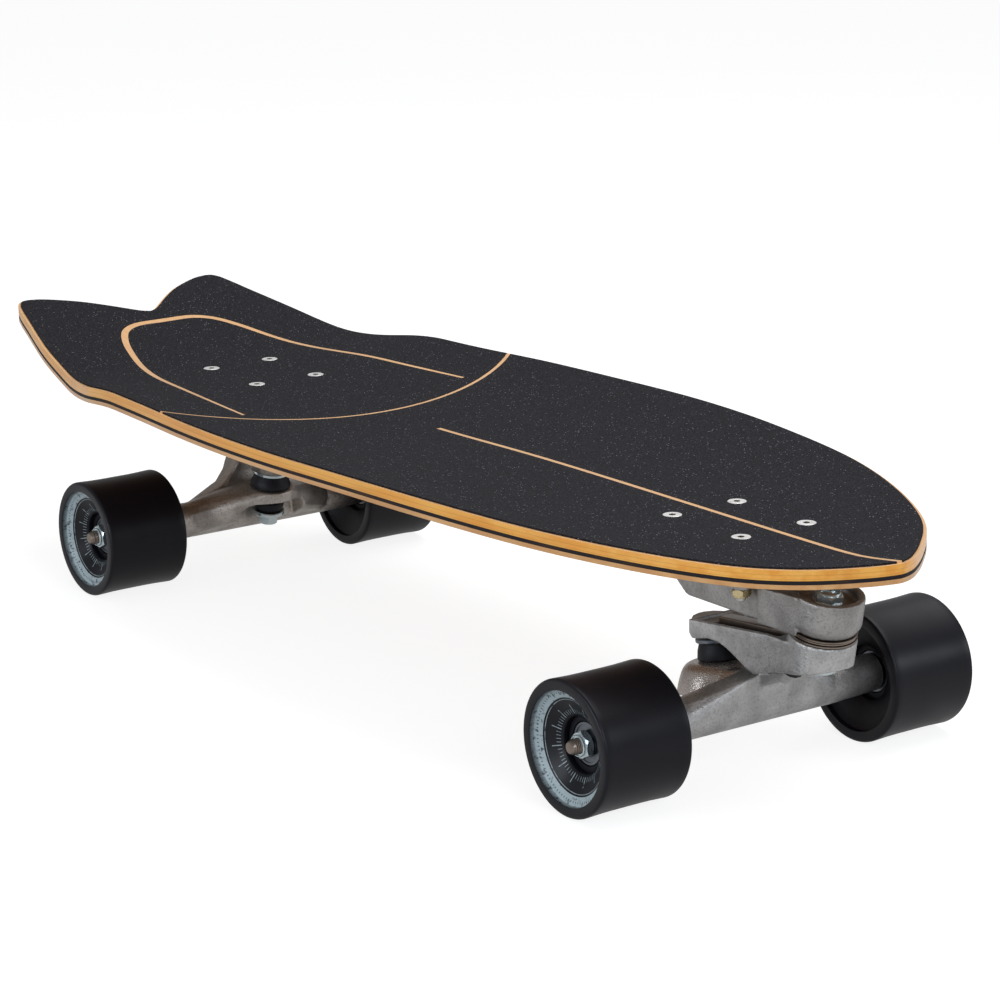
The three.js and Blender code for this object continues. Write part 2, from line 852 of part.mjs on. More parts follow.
// Wheels
function wheelProfile() {
  const half = wheel.width / 2;
  const tread = wheel.radius / Math.cos(Math.PI / wheel.facets);
  const shoulder = Array.from({ length: wheel.shoulderSteps + 1 }, (_, i) => {
    const turn = (Math.PI / 2) * (i / wheel.shoulderSteps);
    return [
      tread - wheel.shoulder * (1 - Math.cos(turn)),
      half - wheel.shoulder * (1 - Math.sin(turn)),
    ];
  });
  const upper = [
    ...shoulder,
    [wheel.lipRadius, half],
    [wheel.lipRadius, half - wheel.dishStep],
    [wheel.boreRadius, half - wheel.dishDepth],
    [wheel.boreRadius, wheel.hubWidth / 2 + seatGap],
    [wheel.hubRadius + seatGap, wheel.hubWidth / 2 + seatGap],
  ];
  const lower = upper.map(([radius, height]) => [radius, -height]).reverse();
  const profile = [...lower, ...upper];
  return [...profile, profile[0]];
}

function makeWheel(end, axleX, side, sideName) {
  const name = `${end}_${sideName}`;
  const hub = new THREE.Group();
  hub.position.set(axleX, side * (outerFace - wheel.width / 2), axleHeight);
  board.add(hub);
  const laid = (geometry) => geometry.rotateX((-side * Math.PI) / 2);

  const halfFacet = Math.PI / wheel.facets;
  const tyre = turned(wheelProfile(), wheel.facets).rotateZ(halfFacet);
  place(hub, `${name}_wheel_tyre`, laid(tyre), "urethane");

  const halfHub = wheel.hubWidth / 2;
  const shelf = halfHub - bearing.width - seatGap;
  const seat = bearing.outerRadius + seatGap;
  const shelfRadius = bearing.outerRadius - bearing.shelf;
  const hubProfile = [
    [shelfRadius, -shelf],
    [seat, -shelf],
    [seat, -halfHub],
    [wheel.hubRadius, -halfHub],
    [wheel.hubRadius, halfHub],
    [seat, halfHub],
    [seat, shelf],
    [shelfRadius, shelf],
    [shelfRadius, -shelf],
  ];
  place(hub, `${name}_wheel_core`, laid(turned(hubProfile, wheel.hubFacets)), "hub");

  for (const [label, way] of [["outer", 1], ["inner", -1]]) {
    const far = way * (halfHub - seatGap);
    const near = way * (halfHub - seatGap - bearing.width);
    const [bottom, top] = [Math.min(far, near), Math.max(far, near)];
    const bore = axle.radius + seatGap;
    const race = ring(bearing.outerRadius, bore, bottom, top, bearing.facets);
    place(hub, `${name}_bearing_${label}`, laid(race), "steel");
  }

  const nutBottom = halfHub + seatGap;
  const nutBody = hexagon(axleNut.flatRadius, nutBottom, nutBottom + axleNut.height);
  const nutBore = rod(
    axle.radius + seatGap,
    nutBottom - overrun,
    nutBottom + axleNut.height + overrun,
    axle.facets,
  );
  place(hub, `${name}_axle_nut`, laid(cut(nutBody, nutBore)), "zinc");
}

// Pieces that both trucks share, each in its truck's own group: +X there points outwards
function makeAxle(group, end) {
  const reach = outerFace - axle.threadShort;
  const profile = [
    [0, -reach],
    [axle.radius - axle.chamfer, -reach],
    [axle.radius, -reach + axle.chamfer],
    [axle.radius, reach - axle.chamfer],
    [axle.radius - axle.chamfer, reach],
    [0, reach],
  ];
  const shaft = crosswise(turned(profile, axle.facets)).translate(0, 0, axleHeight);
  place(group, `${end}_axle`, shaft, "steel");
}

// Half the length of a hanger between the inner bearings
const hangerReach = outerFace - wheel.width / 2 - wheel.hubWidth / 2 - runningGap;
const taperStartShare = 0.55;

function hangerTube() {
  const taper = hangerReach * taperStartShare;
  const profile = [
    [0, -hangerReach],
    [hanger.tubeEndRadius, -hangerReach],
    [hanger.tubeRadius, -taper],
    [hanger.tubeRadius, taper],
    [hanger.tubeEndRadius, hangerReach],
    [0, hangerReach],
  ];
  return crosswise(turned(profile, hanger.facets)).translate(0, 0, axleHeight);
}

// The stack on a kingpin, measured along it from the middle of the hanger's ring
function stackHeights(truck) {
  const ringTop = truck.ringHeight / 2;
  const upperTop = ringTop + seatGap + truck.upperBushing.height;
  const seat = upperTop + seatGap + cupWasher.thickness + seatGap;
  const lowerBottom = -ringTop - seatGap - truck.lowerBushing.height;
  const washerBottom = lowerBottom - seatGap - cupWasher.thickness;
  const nutTop = washerBottom - seatGap;
  return { ringTop, upperTop, seat, lowerBottom, washerBottom, nutTop };
}

// A urethane bushing, wide against the hanger and narrower against its washer
function bushingGeometry(bushingSize, hangerEnd, washerEnd) {
  const middle = (hangerEnd + washerEnd) / 2;
  const middleRadius = (bushingSize.wide + bushingSize.narrow) / 2 + bushing.bulge;
  const outside = [
    [bushingSize.wide, hangerEnd],
    [middleRadius, middle],
    [bushingSize.narrow, washerEnd],
  ].sort((one, other) => one[1] - other[1]);
  const [bottom, top] = [outside[0][1], outside[2][1]];
  const bore = bushing.boreRadius;
  return turned([[bore, top], [bore, bottom], ...outside, [bore, top]], bushing.facets);
}

// A cupped washer whose rim turns towards the bushing: down above it, up below it
function washerGeometry(radius, bottom, way) {
  const top = bottom + cupWasher.thickness;
  const bore = kingpin.radius + seatGap;
  const flatRadius = radius - cupWasher.lipWidth;
  const flat = ring(flatRadius, bore, bottom, top, cupWasher.facets);
  const [rimBottom, rimTop] = way > 0 ? [bottom, top + cupWasher.lip] : [bottom - cupWasher.lip, top];
  return joined(flat, ring(radius, flatRadius, rimBottom, rimTop, cupWasher.facets));
}

function makeKingpinStack(group, end, truck) {
  const heights = stackHeights(truck);
  const x = -truck.kingpinInward;
  const z = axleHeight + truck.ringRise;
  const stand = (geometry) => leaned(geometry, -truck.kingpinTilt, x, z);
  const nutBottom = heights.nutTop - truck.nutHeight;
  const pin = rod(kingpin.radius, nutBottom - kingpin.thread, heights.seat + truck.pinGrip, kingpin.facets);
  place(group, `${end}_kingpin`, stand(pin), "steel");
  const nut = cut(
    hexagon(truck.nutFlatRadius, nutBottom, heights.nutTop),
    rod(kingpin.radius + seatGap, nutBottom - overrun, heights.nutTop + overrun, kingpin.facets),
  );
  place(group, `${end}_kingpin_nut`, stand(nut), "zinc");
  const near = heights.ringTop + seatGap;
  const upper = bushingGeometry(truck.upperBushing, near, heights.upperTop);
  const lower = bushingGeometry(truck.lowerBushing, -near, heights.lowerBottom);
  place(group, `${end}_bushing_upper`, stand(upper), "rubber");
  place(group, `${end}_bushing_lower`, stand(lower), "rubber");
  const upperWasher = washerGeometry(truck.upperWasher, heights.upperTop + seatGap, -1);
  const lowerWasher = washerGeometry(truck.lowerWasher, heights.washerBottom, 1);
  place(group, `${end}_washer_upper`, stand(upperWasher), "zinc");
  place(group, `${end}_washer_lower`, stand(lowerWasher), "zinc");
}

// The line that a hanger tilts about: from the middle of its ring to the middle of its ball
function steeringLine(truck) {
  const x = -truck.kingpinInward;
  const z = axleHeight + truck.ringRise;
  const slope = Math.atan2(truck.pivotRise - truck.ringRise, truck.pivotOutward + truck.kingpinInward);
  return { x, z, slope };
}

// Room that the lower half of a kingpin stack needs while the hanger tilts past it
function stackRoom(truck, radius) {
  const heights = stackHeights(truck);
  const line = steeringLine(truck);
  const around = [-1, 0, 1].flatMap((side) =>
    [
      [radius, -heights.ringTop],
      [radius, heights.washerBottom - runningGap],
      [truck.nutFlatRadius + 2 * cupWasher.thickness, heights.nutTop - truck.nutHeight - 2 * kingpin.thread],
    ].flatMap(([reach, along]) => {
      const section = new THREE.BufferGeometry().setFromPoints(
        leanCircle(line.x, line.z, -truck.kingpinTilt, along, reach, hanger.sectionPoints),
      );
      const moved = swung(section, side * truck.tiltRange, line.x, line.z, line.slope).attributes.position;
      return Array.from({ length: moved.count }, (_, i) => new THREE.Vector3().fromBufferAttribute(moved, i));
    }),
  );
  return wrapped(around);
}

// Stud that leans from the hanger to its ball
function pivotStud(truck) {
  const tip = hanger.studTipRadius;
  const slant = tip * Math.SQRT1_2;
  const profile = [
    [0, -truck.studRoot],
    [truck.studRootRadius, -truck.studRoot],
    [hanger.studNeckRadius, -hanger.studNeck],
    [tip, 0],
    [slant, slant],
    [0, tip],
  ];
  const stud = turned(profile, hanger.facets);
  return leaned(stud, truck.studLean, truck.pivotOutward, axleHeight + truck.pivotRise);
}

// Pocket for the cup around the ball, flared where the stud comes out
function cupPocket(truck) {
  const radius = pivotCup.boreRadius + pivotCup.wall + seatGap;
  const slant = radius * Math.SQRT1_2;
  const flared = radius + pivotCup.flare * (hanger.pocketRoot - pivotCup.skirt);
  const profile = [
    [0, -hanger.pocketRoot],
    [flared, -hanger.pocketRoot],
    [radius, -pivotCup.skirt - seatGap],
    [radius, 0],
    [slant, slant],
    [0, radius],
  ];
  const pocket = turned(profile, pivotCup.facets);
  return leaned(pocket, truck.studLean, truck.pivotOutward, axleHeight + truck.pivotRise);
}

function makePivotCup(group, end, truck) {
  const inner = pivotCup.boreRadius;
  const outer = inner + pivotCup.wall;
  const innerSlant = inner * Math.SQRT1_2;
  const outerSlant = outer * Math.SQRT1_2;
  const profile = [
    [0, inner],
    [innerSlant, innerSlant],
    [inner, 0],
    [inner, -pivotCup.skirt],
    [outer, -pivotCup.skirt],
    [outer, 0],
    [outerSlant, outerSlant],
    [0, outer],
  ];
  const cup = turned(profile, pivotCup.facets);
  place(group, `${end}_pivot_cup`, leaned(cup, truck.studLean, truck.pivotOutward, axleHeight + truck.pivotRise), "rubber");
}

function ringBore(truck) {
  const bore = rod(hanger.ringBoreRadius, -truck.ringHeight, truck.ringHeight, hanger.facets);
  return leaned(bore, -truck.kingpinTilt, -truck.kingpinInward, axleHeight + truck.ringRise);
}

function axleBore() {
  const reach = hangerReach + overrun;
  return crosswise(rod(axle.radius + seatGap, -reach, reach, axle.facets)).translate(0, 0, axleHeight);
}

// Points at the corners of a flat rectangle across the middle plane
function levelCorners(from, to, halfWidth, height) {
  return [from, to].flatMap((x) => [-halfWidth, halfWidth].map((y) => new THREE.Vector3(x, y, height)));
}

function tubeSections(reach, radius) {
  return [-reach, reach].flatMap((y) => crossCircle(0, y, axleHeight, radius, hanger.sectionPoints));
}

function ringSections(truck, levels) {
  const x = -truck.kingpinInward;
  const z = axleHeight + truck.ringRise;
  return levels.flatMap(([radius, along]) =>
    leanCircle(x, z, -truck.kingpinTilt, along, radius, hanger.sectionPoints),
  );
}

// Front hanger: a tube with a domed kingpin ring, a sloping shield on the nose side and the pivot stud
function makeFrontHanger(group) {
  const half = front.ringHeight / 2;
  const full = front.ringRadius;
  const dome = turned(
    [[0, -half], [full, -half], ...domeShares.map(([reach, height]) => [full * reach, half * height]), [0, half]],
    hanger.facets,
  );
  const boss = leaned(dome, -front.kingpinTilt, -front.kingpinInward, axleHeight + front.ringRise);
  const crest = axleHeight + shield.rise;
  const crestPoints = levelCorners(shield.back, shield.outward, shield.halfWidth, crest);
  const face = wrapped([...tubeSections(shield.tubeReach, hanger.tubeRadius), ...crestPoints]);
  const saddle = wrapped([
    ...ringSections(front, [[hanger.saddleRadius, -half], [hanger.saddleRadius, half / 2]]),
    ...levelCorners(shield.back, shield.saddleOutward, shield.halfWidth, crest),
    ...levelCorners(-shield.back, shield.saddleOutward, 2 * shield.halfWidth, axleHeight + shield.rise / 2),
  ]);
  const ball = axleHeight + front.pivotRise;
  const neck = wrapped([
    ...levelCorners(shield.neckBack, shield.outward, shield.halfWidth, crest),
    ...levelCorners(shield.neckBack, shield.saddleOutward, shield.halfWidth, crest - shield.depth),
    ...leanCircle(
      front.pivotOutward, ball, front.studLean, -shield.neckEnd, hanger.studNeckRadius, hanger.sectionPoints,
    ),
  ]);
  const casting = joined(hangerTube(), face, boss, saddle, neck, pivotStud(front));
  const room = stackRoom(front, front.lowerBushing.wide + runningGap);
  place(group, "front_hanger", cut(casting, room, ringBore(front), axleBore()), "castLight");
}

// Rear hanger: a tube bowed round its kingpin ring, with a tall fin to the pivot stud
function makeRearHanger(group) {
  const half = rear.ringHeight / 2;
  const bowed = wrapped([
    ...tubeSections(bow.tubeReach, bow.tubeRadius),
    ...ringSections(rear, [[rear.ringRadius, -half], [rear.ringRadius, half]]),
  ]);
  const corners = (level, drop) =>
    levelCorners(level.from, level.to, level.halfWidth, axleHeight + level.rise - drop);
  const [low, middle, high] = finLevels;
  const root = wrapped([...tubeSections(fin.tubeReach, fin.tubeRadius), ...corners(low, 0)]);
  const waist = wrapped([...corners(low, fin.overlap), ...corners(low, 0), ...corners(middle, 0)]);
  const neck = wrapped([...corners(middle, fin.overlap), ...corners(middle, 0), ...corners(high, 0)]);
  const reach = -rear.kingpinInward - 2 * rear.ringRadius;
  const across = tunnel.halfWidth - tunnel.radius;
  const tunnelPoints = [reach, tunnel.end].flatMap((x) =>
    [-across, across].flatMap((y) =>
      [tunnel.top - tunnel.radius, -2 * hanger.tubeRadius].flatMap((rise) =>
        crossCircle(0, 0, 0, tunnel.radius, hanger.sectionPoints).map(
          (point) => new THREE.Vector3(x, y + point.x, axleHeight + rise + point.z),
        ),
      ),
    ),
  );
  const room = stackRoom(rear, rear.lowerWasher + runningGap);
  const casting = joined(hangerTube(), bowed, root, waist, neck, pivotStud(rear));
  place(group, "rear_hanger", cut(casting, wrapped(tunnelPoints), room, ringBore(rear), axleBore()), "castDark");
}

// Stands a shape made about Z on the front truck's swivel axis, its zero at the bearing plane
function onSwivel(geometry) {
  return leaned(geometry, swivel.tilt, swivel.outward, axleHeight + swivel.rise);
}

// A side view outline given by [outwards, rise above the axle] pairs
function raised(outline) {
  return outline.map(([x, rise]) => [x, axleHeight + rise]);
}

function boltBosses(axleX, outwards, top) {
  return boltPlaces
    .filter((boltPlace) => Math.sign(boltPlace.x) === Math.sign(axleX))
    .map((boltPlace) => {
      const boss = rod(base.bossRadius, top - base.gripLength, top, bolt.facets);
      return boss.translate(outwards * (boltPlace.x - axleX), boltPlace.y, 0);
    });
}

function boltBores(axleX, outwards, top) {
  return boltPlaces
    .filter((boltPlace) => Math.sign(boltPlace.x) === Math.sign(axleX))
    .map((boltPlace) => {
      const bore = rod(bolt.radius + seatGap, top - bolt.length, top + overrun, bolt.facets);
      return bore.translate(outwards * (boltPlace.x - axleX), boltPlace.y, 0);
    });
}

const bearingHalf = swivel.bearingGap / 2;

// Front base plate: a bolted flange, a body below it and the swivel hub with its open pocket
function makeFrontBase(group) {
  const top = frontBaseTop;
  const flangeBottom = top - base.flangeThickness;
  const inFlange = flangeBottom + base.flangeThickness / 2;
  const plan = roundedPlan(base.flangeStart, base.flangeEnd, base.flangeHalfWidth, base.corner);
  const flange = planSlab(plan, flangeBottom, top);
  const rearFace = bodyUnderside[bodyUnderside.length - 1][0];
  const body = sideSlab(
    [...raised(bodyUnderside), [rearFace, inFlange], [base.flangeEnd, inFlange]],
    base.bodyHalfWidth,
  );

  // Block behind the hub and the hub itself, both below the rim line
  const wide = swivel.baseHubRadius;
  const beyond = rimLine[rimLine.length - 1][0];
  const underRim = sideSlab([...raised(rimLine), [beyond, axleHeight], [base.blockStart, axleHeight]], wide);
  const blockBottom = axleHeight + base.blockRise;
  const swept = onSwivel(
    rod(swivel.hubRadius + runningGap, -2 * swivel.hubRadius, bearingHalf, swivel.facets),
  );
  const rearBlock = cut(block(base.blockStart, swivel.outward, -wide, wide, blockBottom, top), swept);
  const hub = onSwivel(
    turned(
      [
        [0, bearingHalf],
        [wide - base.chamferWidth, bearingHalf],
        [wide, bearingHalf + base.chamferHeight],
        [wide, base.hubTop],
        [0, base.hubTop],
      ],
      swivel.facets,
    ),
  );
  const head = common(joined(rearBlock, hub), underRim);

  const pocket = onSwivel(rod(base.pocketRadius, base.pocketFloor, 2 * base.hubTop, swivel.facets));
  const slot = block(
    base.slotStart,
    base.slotEnd,
    -base.slotHalfWidth,
    base.slotHalfWidth,
    axleHeight + base.slotFloor,
    flangeBottom,
  );
  const channel = block(
    base.slotEnd - overrun,
    swivel.outward,
    -base.channelHalfWidth,
    base.channelHalfWidth,
    axleHeight + base.channelFloor,
    flangeBottom,
  );
  const bore = onSwivel(rod(swivel.boltRadius + seatGap, -bearingHalf, base.hubTop, swivel.facets));
  const casting = joined(flange, body, head, ...boltBosses(frontAxleX, 1, top));
  const holes = boltBores(frontAxleX, 1, top);
  place(group, "front_base_plate", cut(casting, pocket, slot, channel, bore, ...holes), "castLight");
}

// Pivot bolt with its collar, lock nut and the three thin rings of the thrust bearing
function makeSwivelJoint(group) {
  const nutBottom = base.pocketFloor + seatGap;
  const nutTop = nutBottom + pivotNut.height;
  const headTop = -swivel.boltHeadDepth - seatGap;
  const collarBottom = seatGap - swivel.chamberDepth;
  const collarTop = -bearingHalf - seatGap;
  const boltProfile = [
    [0, headTop - swivel.boltHeadHeight],
    [swivel.boltHeadRadius, headTop - swivel.boltHeadHeight],
    [swivel.boltHeadRadius, headTop],
    [swivel.boltRadius, headTop],
    [swivel.boltRadius, collarBottom],
    [swivel.collarRadius, collarBottom],
    [swivel.collarRadius, collarTop],
    [swivel.boltRadius, collarTop],
    [swivel.boltRadius, nutTop - pivotNut.recess],
    [0, nutTop - pivotNut.recess],
  ];
  place(group, "front_pivot_bolt", onSwivel(turned(boltProfile, hanger.facets)), "zinc");
  const nut = cut(
    joined(
      hexagon(pivotNut.flatRadius, nutBottom, nutTop),
      rod(pivotNut.flangeRadius, nutBottom, nutBottom + pivotNut.flangeHeight, hanger.facets),
    ),
    rod(swivel.boltRadius + seatGap, nutBottom - overrun, nutTop + overrun, hanger.facets),
  );
  place(group, "front_pivot_nut", onSwivel(nut), "zinc");
  const names = ["thrust_washer_lower", "thrust_bearing", "thrust_washer_upper"];
  const pitch = (swivel.bearingGap - names.length * swivel.ringThickness) / (names.length + 1);
  names.forEach((name, i) => {
    const bottom = -bearingHalf + pitch + i * (pitch + swivel.ringThickness);
    const washer = ring(
      swivel.ringRadii[i],
      swivel.ringBore,
      bottom,
      bottom + swivel.ringThickness,
      swivel.facets,
    );
    place(group, name, onSwivel(washer), "steel");
  });
}

// The follower and its channel slope up towards the swivel hub
function sloped(geometry) {
  const rise = axleHeight + follower.rise;
  return geometry.rotateY(-radians(arm.slope)).translate(follower.start, 0, rise);
}

// Swivel arm: a trough from the kingpin seat to the hub that turns below the base plate
function makeSwivelArm(group) {
  const seat = stackHeights(front).seat;
  const onKingpin = (geometry) =>
    leaned(geometry, -front.kingpinTilt, -front.kingpinInward, axleHeight + front.ringRise);
  const slab = sideSlab([...raised(armTop), ...raised(armUnderside)], arm.halfWidth);
  const bossHeight = arm.bossTop - front.ringRise;
  const pinBoss = common(
    onKingpin(rod(arm.seatRadius, seat, bossHeight + seat, swivel.facets)),
    block(
      -front.kingpinInward - 2 * arm.seatRadius,
      arm.bossEnd,
      -arm.halfWidth,
      arm.halfWidth,
      axleHeight,
      axleHeight + arm.bossTop,
    ),
  );
  const keel = block(
    arm.bossEnd,
    arm.keelEnd,
    -arm.keelHalfWidth,
    arm.keelHalfWidth,
    axleHeight + arm.keelRise,
    axleHeight + arm.bossTop,
  );

  // Trough, with the kingpin boss standing in its closed end
  const inner = arm.halfWidth - arm.wall;
  const start = armTop[0][0] + arm.wall;
  const rise = Math.tan(radians(arm.slope));
  const floorAt = (x) =>
    axleHeight + follower.rise - follower.halfHeight - seatGap + rise * (x - follower.start);
  const above = axleHeight + swivel.rise;
  const trough = sideSlab(
    [
      [start, above],
      [start, axleHeight + arm.bossTop],
      [arm.bossEnd, axleHeight + arm.bossTop],
      [arm.bossEnd, floorAt(arm.bossEnd)],
      [arm.troughEnd, floorAt(arm.troughEnd)],
      [arm.troughEnd, above],
    ],
    inner,
  );
  const troughed = cut(joined(slab, pinBoss, keel), trough);

  const hub = common(
    onSwivel(rod(swivel.hubRadius, -2 * swivel.hubRadius, -bearingHalf, swivel.facets)),
    sideSlab([...raised(hubUnderside), [hubUnderside[3][0], above], [hubUnderside[0][0], above]], arm.halfWidth + arm.wall),
  );
  const chamber = onSwivel(
    rod(swivel.collarRadius + runningGap, -swivel.chamberDepth, 0, swivel.facets),
  );
  const boltBore = onSwivel(
    rod(swivel.boltRadius + seatGap, -2 * swivel.hubRadius, 0, hanger.facets),
  );
  const headRoom = onSwivel(
    rod(swivel.boltHeadRadius + runningGap, -2 * swivel.hubRadius, -swivel.boltHeadDepth, swivel.facets),
  );
  const channel = sloped(
    block(
      arm.troughEnd - arm.bossEnd - overrun,
      swivel.outward - follower.start,
      -follower.halfWidth - runningGap,
      follower.halfWidth + runningGap,
      -follower.halfHeight - seatGap,
      follower.halfHeight + seatGap,
    ),
  );
  const seatRoom = onKingpin(rod(arm.seatRadius, -seat, seat, swivel.facets));
  const pinBore = onKingpin(
    rod(kingpin.radius + seatGap, 0, seat + front.pinGrip + seatGap, kingpin.facets),
  );
  const casting = cut(
    joined(troughed, hub),
    chamber,
    boltBore,
    headRoom,
    channel,
    seatRoom,
    pinBore,
    cupPocket(front),
  );
  place(group, "swivel_arm", casting, "castLight");
}

// Spring-loaded follower that brings the arm back to the middle
function makeFollower(group) {
  const { halfWidth, halfHeight } = follower;
  const length = (follower.end - follower.start) / Math.cos(radians(arm.slope));
  const bar = cut(
    block(0, length, -halfWidth, halfWidth, -halfHeight, halfHeight),
    rod(follower.boreRadius, -overrun, follower.boreLength, follower.facets).rotateY(Math.PI / 2),
  );
  place(group, "swivel_follower", sloped(bar), "steel");

  class Coil extends THREE.Curve {
    getPoint(share, target = new THREE.Vector3()) {
      const turn = 2 * Math.PI * spring.turns * share;
      const along = spring.wire + spring.length * share;
      return target.set(along, spring.radius * Math.cos(turn), spring.radius * Math.sin(turn));
    }
  }
  const section = new THREE.Shape().absarc(0, 0, spring.wire, 0, 2 * Math.PI);
  const coil = new THREE.ExtrudeGeometry(section, {
    steps: spring.turns * spring.stepsPerTurn,
    curveSegments: spring.sides,
    extrudePath: new Coil(),
  });
  place(group, "swivel_spring", sloped(coil), "steel");
}

// Rear base plate: a flange with two pedestals, one for the kingpin seat and one for the pivot cup
function makeRearBase(group) {
  const top = rearBaseTop;
  const flangeBottom = top - pedestal.flangeThickness;
  const inFlange = flangeBottom + pedestal.flangeThickness / 2;
  const plan = roundedPlan(pedestal.flangeStart, pedestal.flangeEnd, base.flangeHalfWidth, base.corner);
  const flange = planSlab(plan, flangeBottom, top);
  const { seat } = stackHeights(rear);
  const seatPedestal = wrapped([
    ...ringSections(rear, [[pedestal.seatRadius, seat], [pedestal.seatRadius, seat + pedestal.seatHeight]]),
    ...levelCorners(pedestal.seatFrom, pedestal.seatTo, pedestal.halfWidth, inFlange),
  ]);
  const [ballX, ballZ] = [rear.pivotOutward, axleHeight + rear.pivotRise];
  const bossEnd = (along) =>
    leanCircle(ballX, ballZ, rear.studLean, along, pedestal.bossRadius, hanger.sectionPoints);
  const pivotPedestal = wrapped([
    ...bossEnd(pedestal.bossLow),
    ...bossEnd(pedestal.bossHigh),
    ...levelCorners(pedestal.pivotFrom, pedestal.pivotTo, pedestal.halfWidth, inFlange),
  ]);
  const below = block(
    rear.pivotOutward - 2 * pedestal.bossRadius,
    rear.pivotOutward + 2 * pedestal.bossRadius,
    -base.flangeHalfWidth,
    base.flangeHalfWidth,
    axleHeight,
    axleHeight + pedestal.trim,
  );
  const pinBore = leaned(
    rod(kingpin.radius + seatGap, 0, seat + rear.pinGrip + seatGap, kingpin.facets),
    -rear.kingpinTilt,
    -rear.kingpinInward,
    axleHeight + rear.ringRise,
  );
  const casting = joined(flange, seatPedestal, cut(pivotPedestal, below), ...boltBosses(rearAxleX, -1, top));
  const holes = boltBores(rearAxleX, -1, top);
  place(group, "rear_base_plate", cut(casting, pinBore, cupPocket(rear), ...holes), "castDark");
}

makeDeck();
makeGrip();
makeBolts();
for (const [end, axleX] of [["front", frontAxleX], ["rear", rearAxleX]])
  for (const [side, sideName] of [[1, "left"], [-1, "right"]]) makeWheel(end, axleX, side, sideName);

const frontTruck = new THREE.Group();
frontTruck.position.x = frontAxleX;
const rearTruck = new THREE.Group();
rearTruck.position.x = rearAxleX;
rearTruck.rotation.z = Math.PI;
board.add(frontTruck, rearTruck);

makeFrontBase(frontTruck);
makeSwivelJoint(frontTruck);
makeSwivelArm(frontTruck);
makeFollower(frontTruck);
makeFrontHanger(frontTruck);
makeRearBase(rearTruck);
makeRearHanger(rearTruck);
for (const [group, end, truck] of [[frontTruck, "front", front], [rearTruck, "rear", rear]]) {
  makeKingpinStack(group, end, truck);
  makePivotCup(group, end, truck);
  makeAxle(group, end);
}

export default board;
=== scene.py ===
# Surf skateboard: the dressed model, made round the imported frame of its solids
import json
import math

import bpy
from mathutils import Matrix, Vector

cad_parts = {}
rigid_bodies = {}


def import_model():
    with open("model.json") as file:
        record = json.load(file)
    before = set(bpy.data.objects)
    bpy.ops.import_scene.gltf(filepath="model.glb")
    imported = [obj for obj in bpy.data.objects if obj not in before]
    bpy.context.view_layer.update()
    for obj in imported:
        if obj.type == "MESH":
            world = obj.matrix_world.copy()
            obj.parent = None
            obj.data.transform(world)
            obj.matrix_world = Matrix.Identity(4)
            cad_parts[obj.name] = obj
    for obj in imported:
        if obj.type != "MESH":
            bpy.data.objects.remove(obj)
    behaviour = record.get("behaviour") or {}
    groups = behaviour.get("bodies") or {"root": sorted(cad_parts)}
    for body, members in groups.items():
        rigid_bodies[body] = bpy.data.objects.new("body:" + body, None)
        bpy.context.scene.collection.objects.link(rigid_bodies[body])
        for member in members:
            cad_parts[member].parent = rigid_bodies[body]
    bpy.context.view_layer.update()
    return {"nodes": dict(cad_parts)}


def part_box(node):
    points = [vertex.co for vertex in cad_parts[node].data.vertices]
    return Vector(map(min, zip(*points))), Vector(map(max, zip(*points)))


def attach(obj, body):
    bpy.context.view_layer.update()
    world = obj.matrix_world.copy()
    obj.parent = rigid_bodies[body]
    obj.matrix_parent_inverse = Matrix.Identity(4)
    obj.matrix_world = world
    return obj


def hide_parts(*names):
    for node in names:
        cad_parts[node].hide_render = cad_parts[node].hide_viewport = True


bl_info = {
    "name": "Surf skateboard",
    "version": (1, 0, 0),
    "blender": (4, 5, 0),
    "location": "View3D > Sidebar > Surf skateboard",
    "description": "Builds a surf skateboard piece by piece round its frame",
    "category": "Add Mesh",
}

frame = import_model()
NODES = frame["nodes"]
MM = 0.001
ENDS = ("front", "rear")
SIDES = {"left": 1, "right": -1}

# Deck: the same curved board as the solids, in millimetres
DECK_LENGTH = 762
DECK_WIDTH = 254
DECK_THICKNESS = 9.6
CONCAVE_RISE = 11.05
CONCAVE_FADE = (-170, -268)
NOSE_RISE, NOSE_RISE_MIDDLE, NOSE_RISE_SPAN = 3, 45, 60
KICK_SLOPE, KICK_START, KICK_ROUND = 0.217, -258, 36
NOSE_KICK_SLOPE, NOSE_KICK_START, NOSE_KICK_ROUND = 0.16, 352, 14
AXLE_HEIGHT = 34.5
FRONT_STAND = 81.2
FRONT_BOLTS_X = 260.7

# Outlines as shares of half the length and half the width
RAIL_SHARES = (
    (0.9985, 0), (0.9965, 0.024), (0.9865, 0.085), (0.965, 0.17), (0.93, 0.29), (0.87, 0.468),
    (0.766, 0.651), (0.609, 0.823), (0.4, 0.933), (0.19, 0.987), (0.02, 1), (-0.18, 0.983),
    (-0.36, 0.936), (-0.53, 0.9), (-0.56, 0.883), (-0.6, 0.852), (-0.7, 0.782), (-0.81, 0.72),
    (-0.913, 0.644), (-0.966, 0.604), (-0.985, 0.584), (-0.997, 0.554), (-1, 0.515),
)
TAIL_SHARES = (
    (-1, 0.515), (-0.996, 0.45), (-0.984, 0.37), (-0.962, 0.262), (-0.933, 0.16), (-0.908, 0.083),
    (-0.893, 0.035), (-0.887, 0),
)
HORSESHOE_SHARES = (
    (-0.838, 0), (-0.836, 0.16), (-0.819, 0.245), (-0.78, 0.315), (-0.709, 0.386), (-0.604, 0.465),
    (-0.499, 0.52), (-0.367, 0.559), (-0.24, 0.595),
)
RAIL_STEPS = 140
TAIL_STEPS = 42
HORSESHOE_STEPS = 60
ARC_STEPS = 40
GRID_ALONG = 9
GRID_ACROSS = 10.2
TOP_ROUND = 2.6
BOTTOM_ROUND = 3.2
ROUND_STEPS = 4

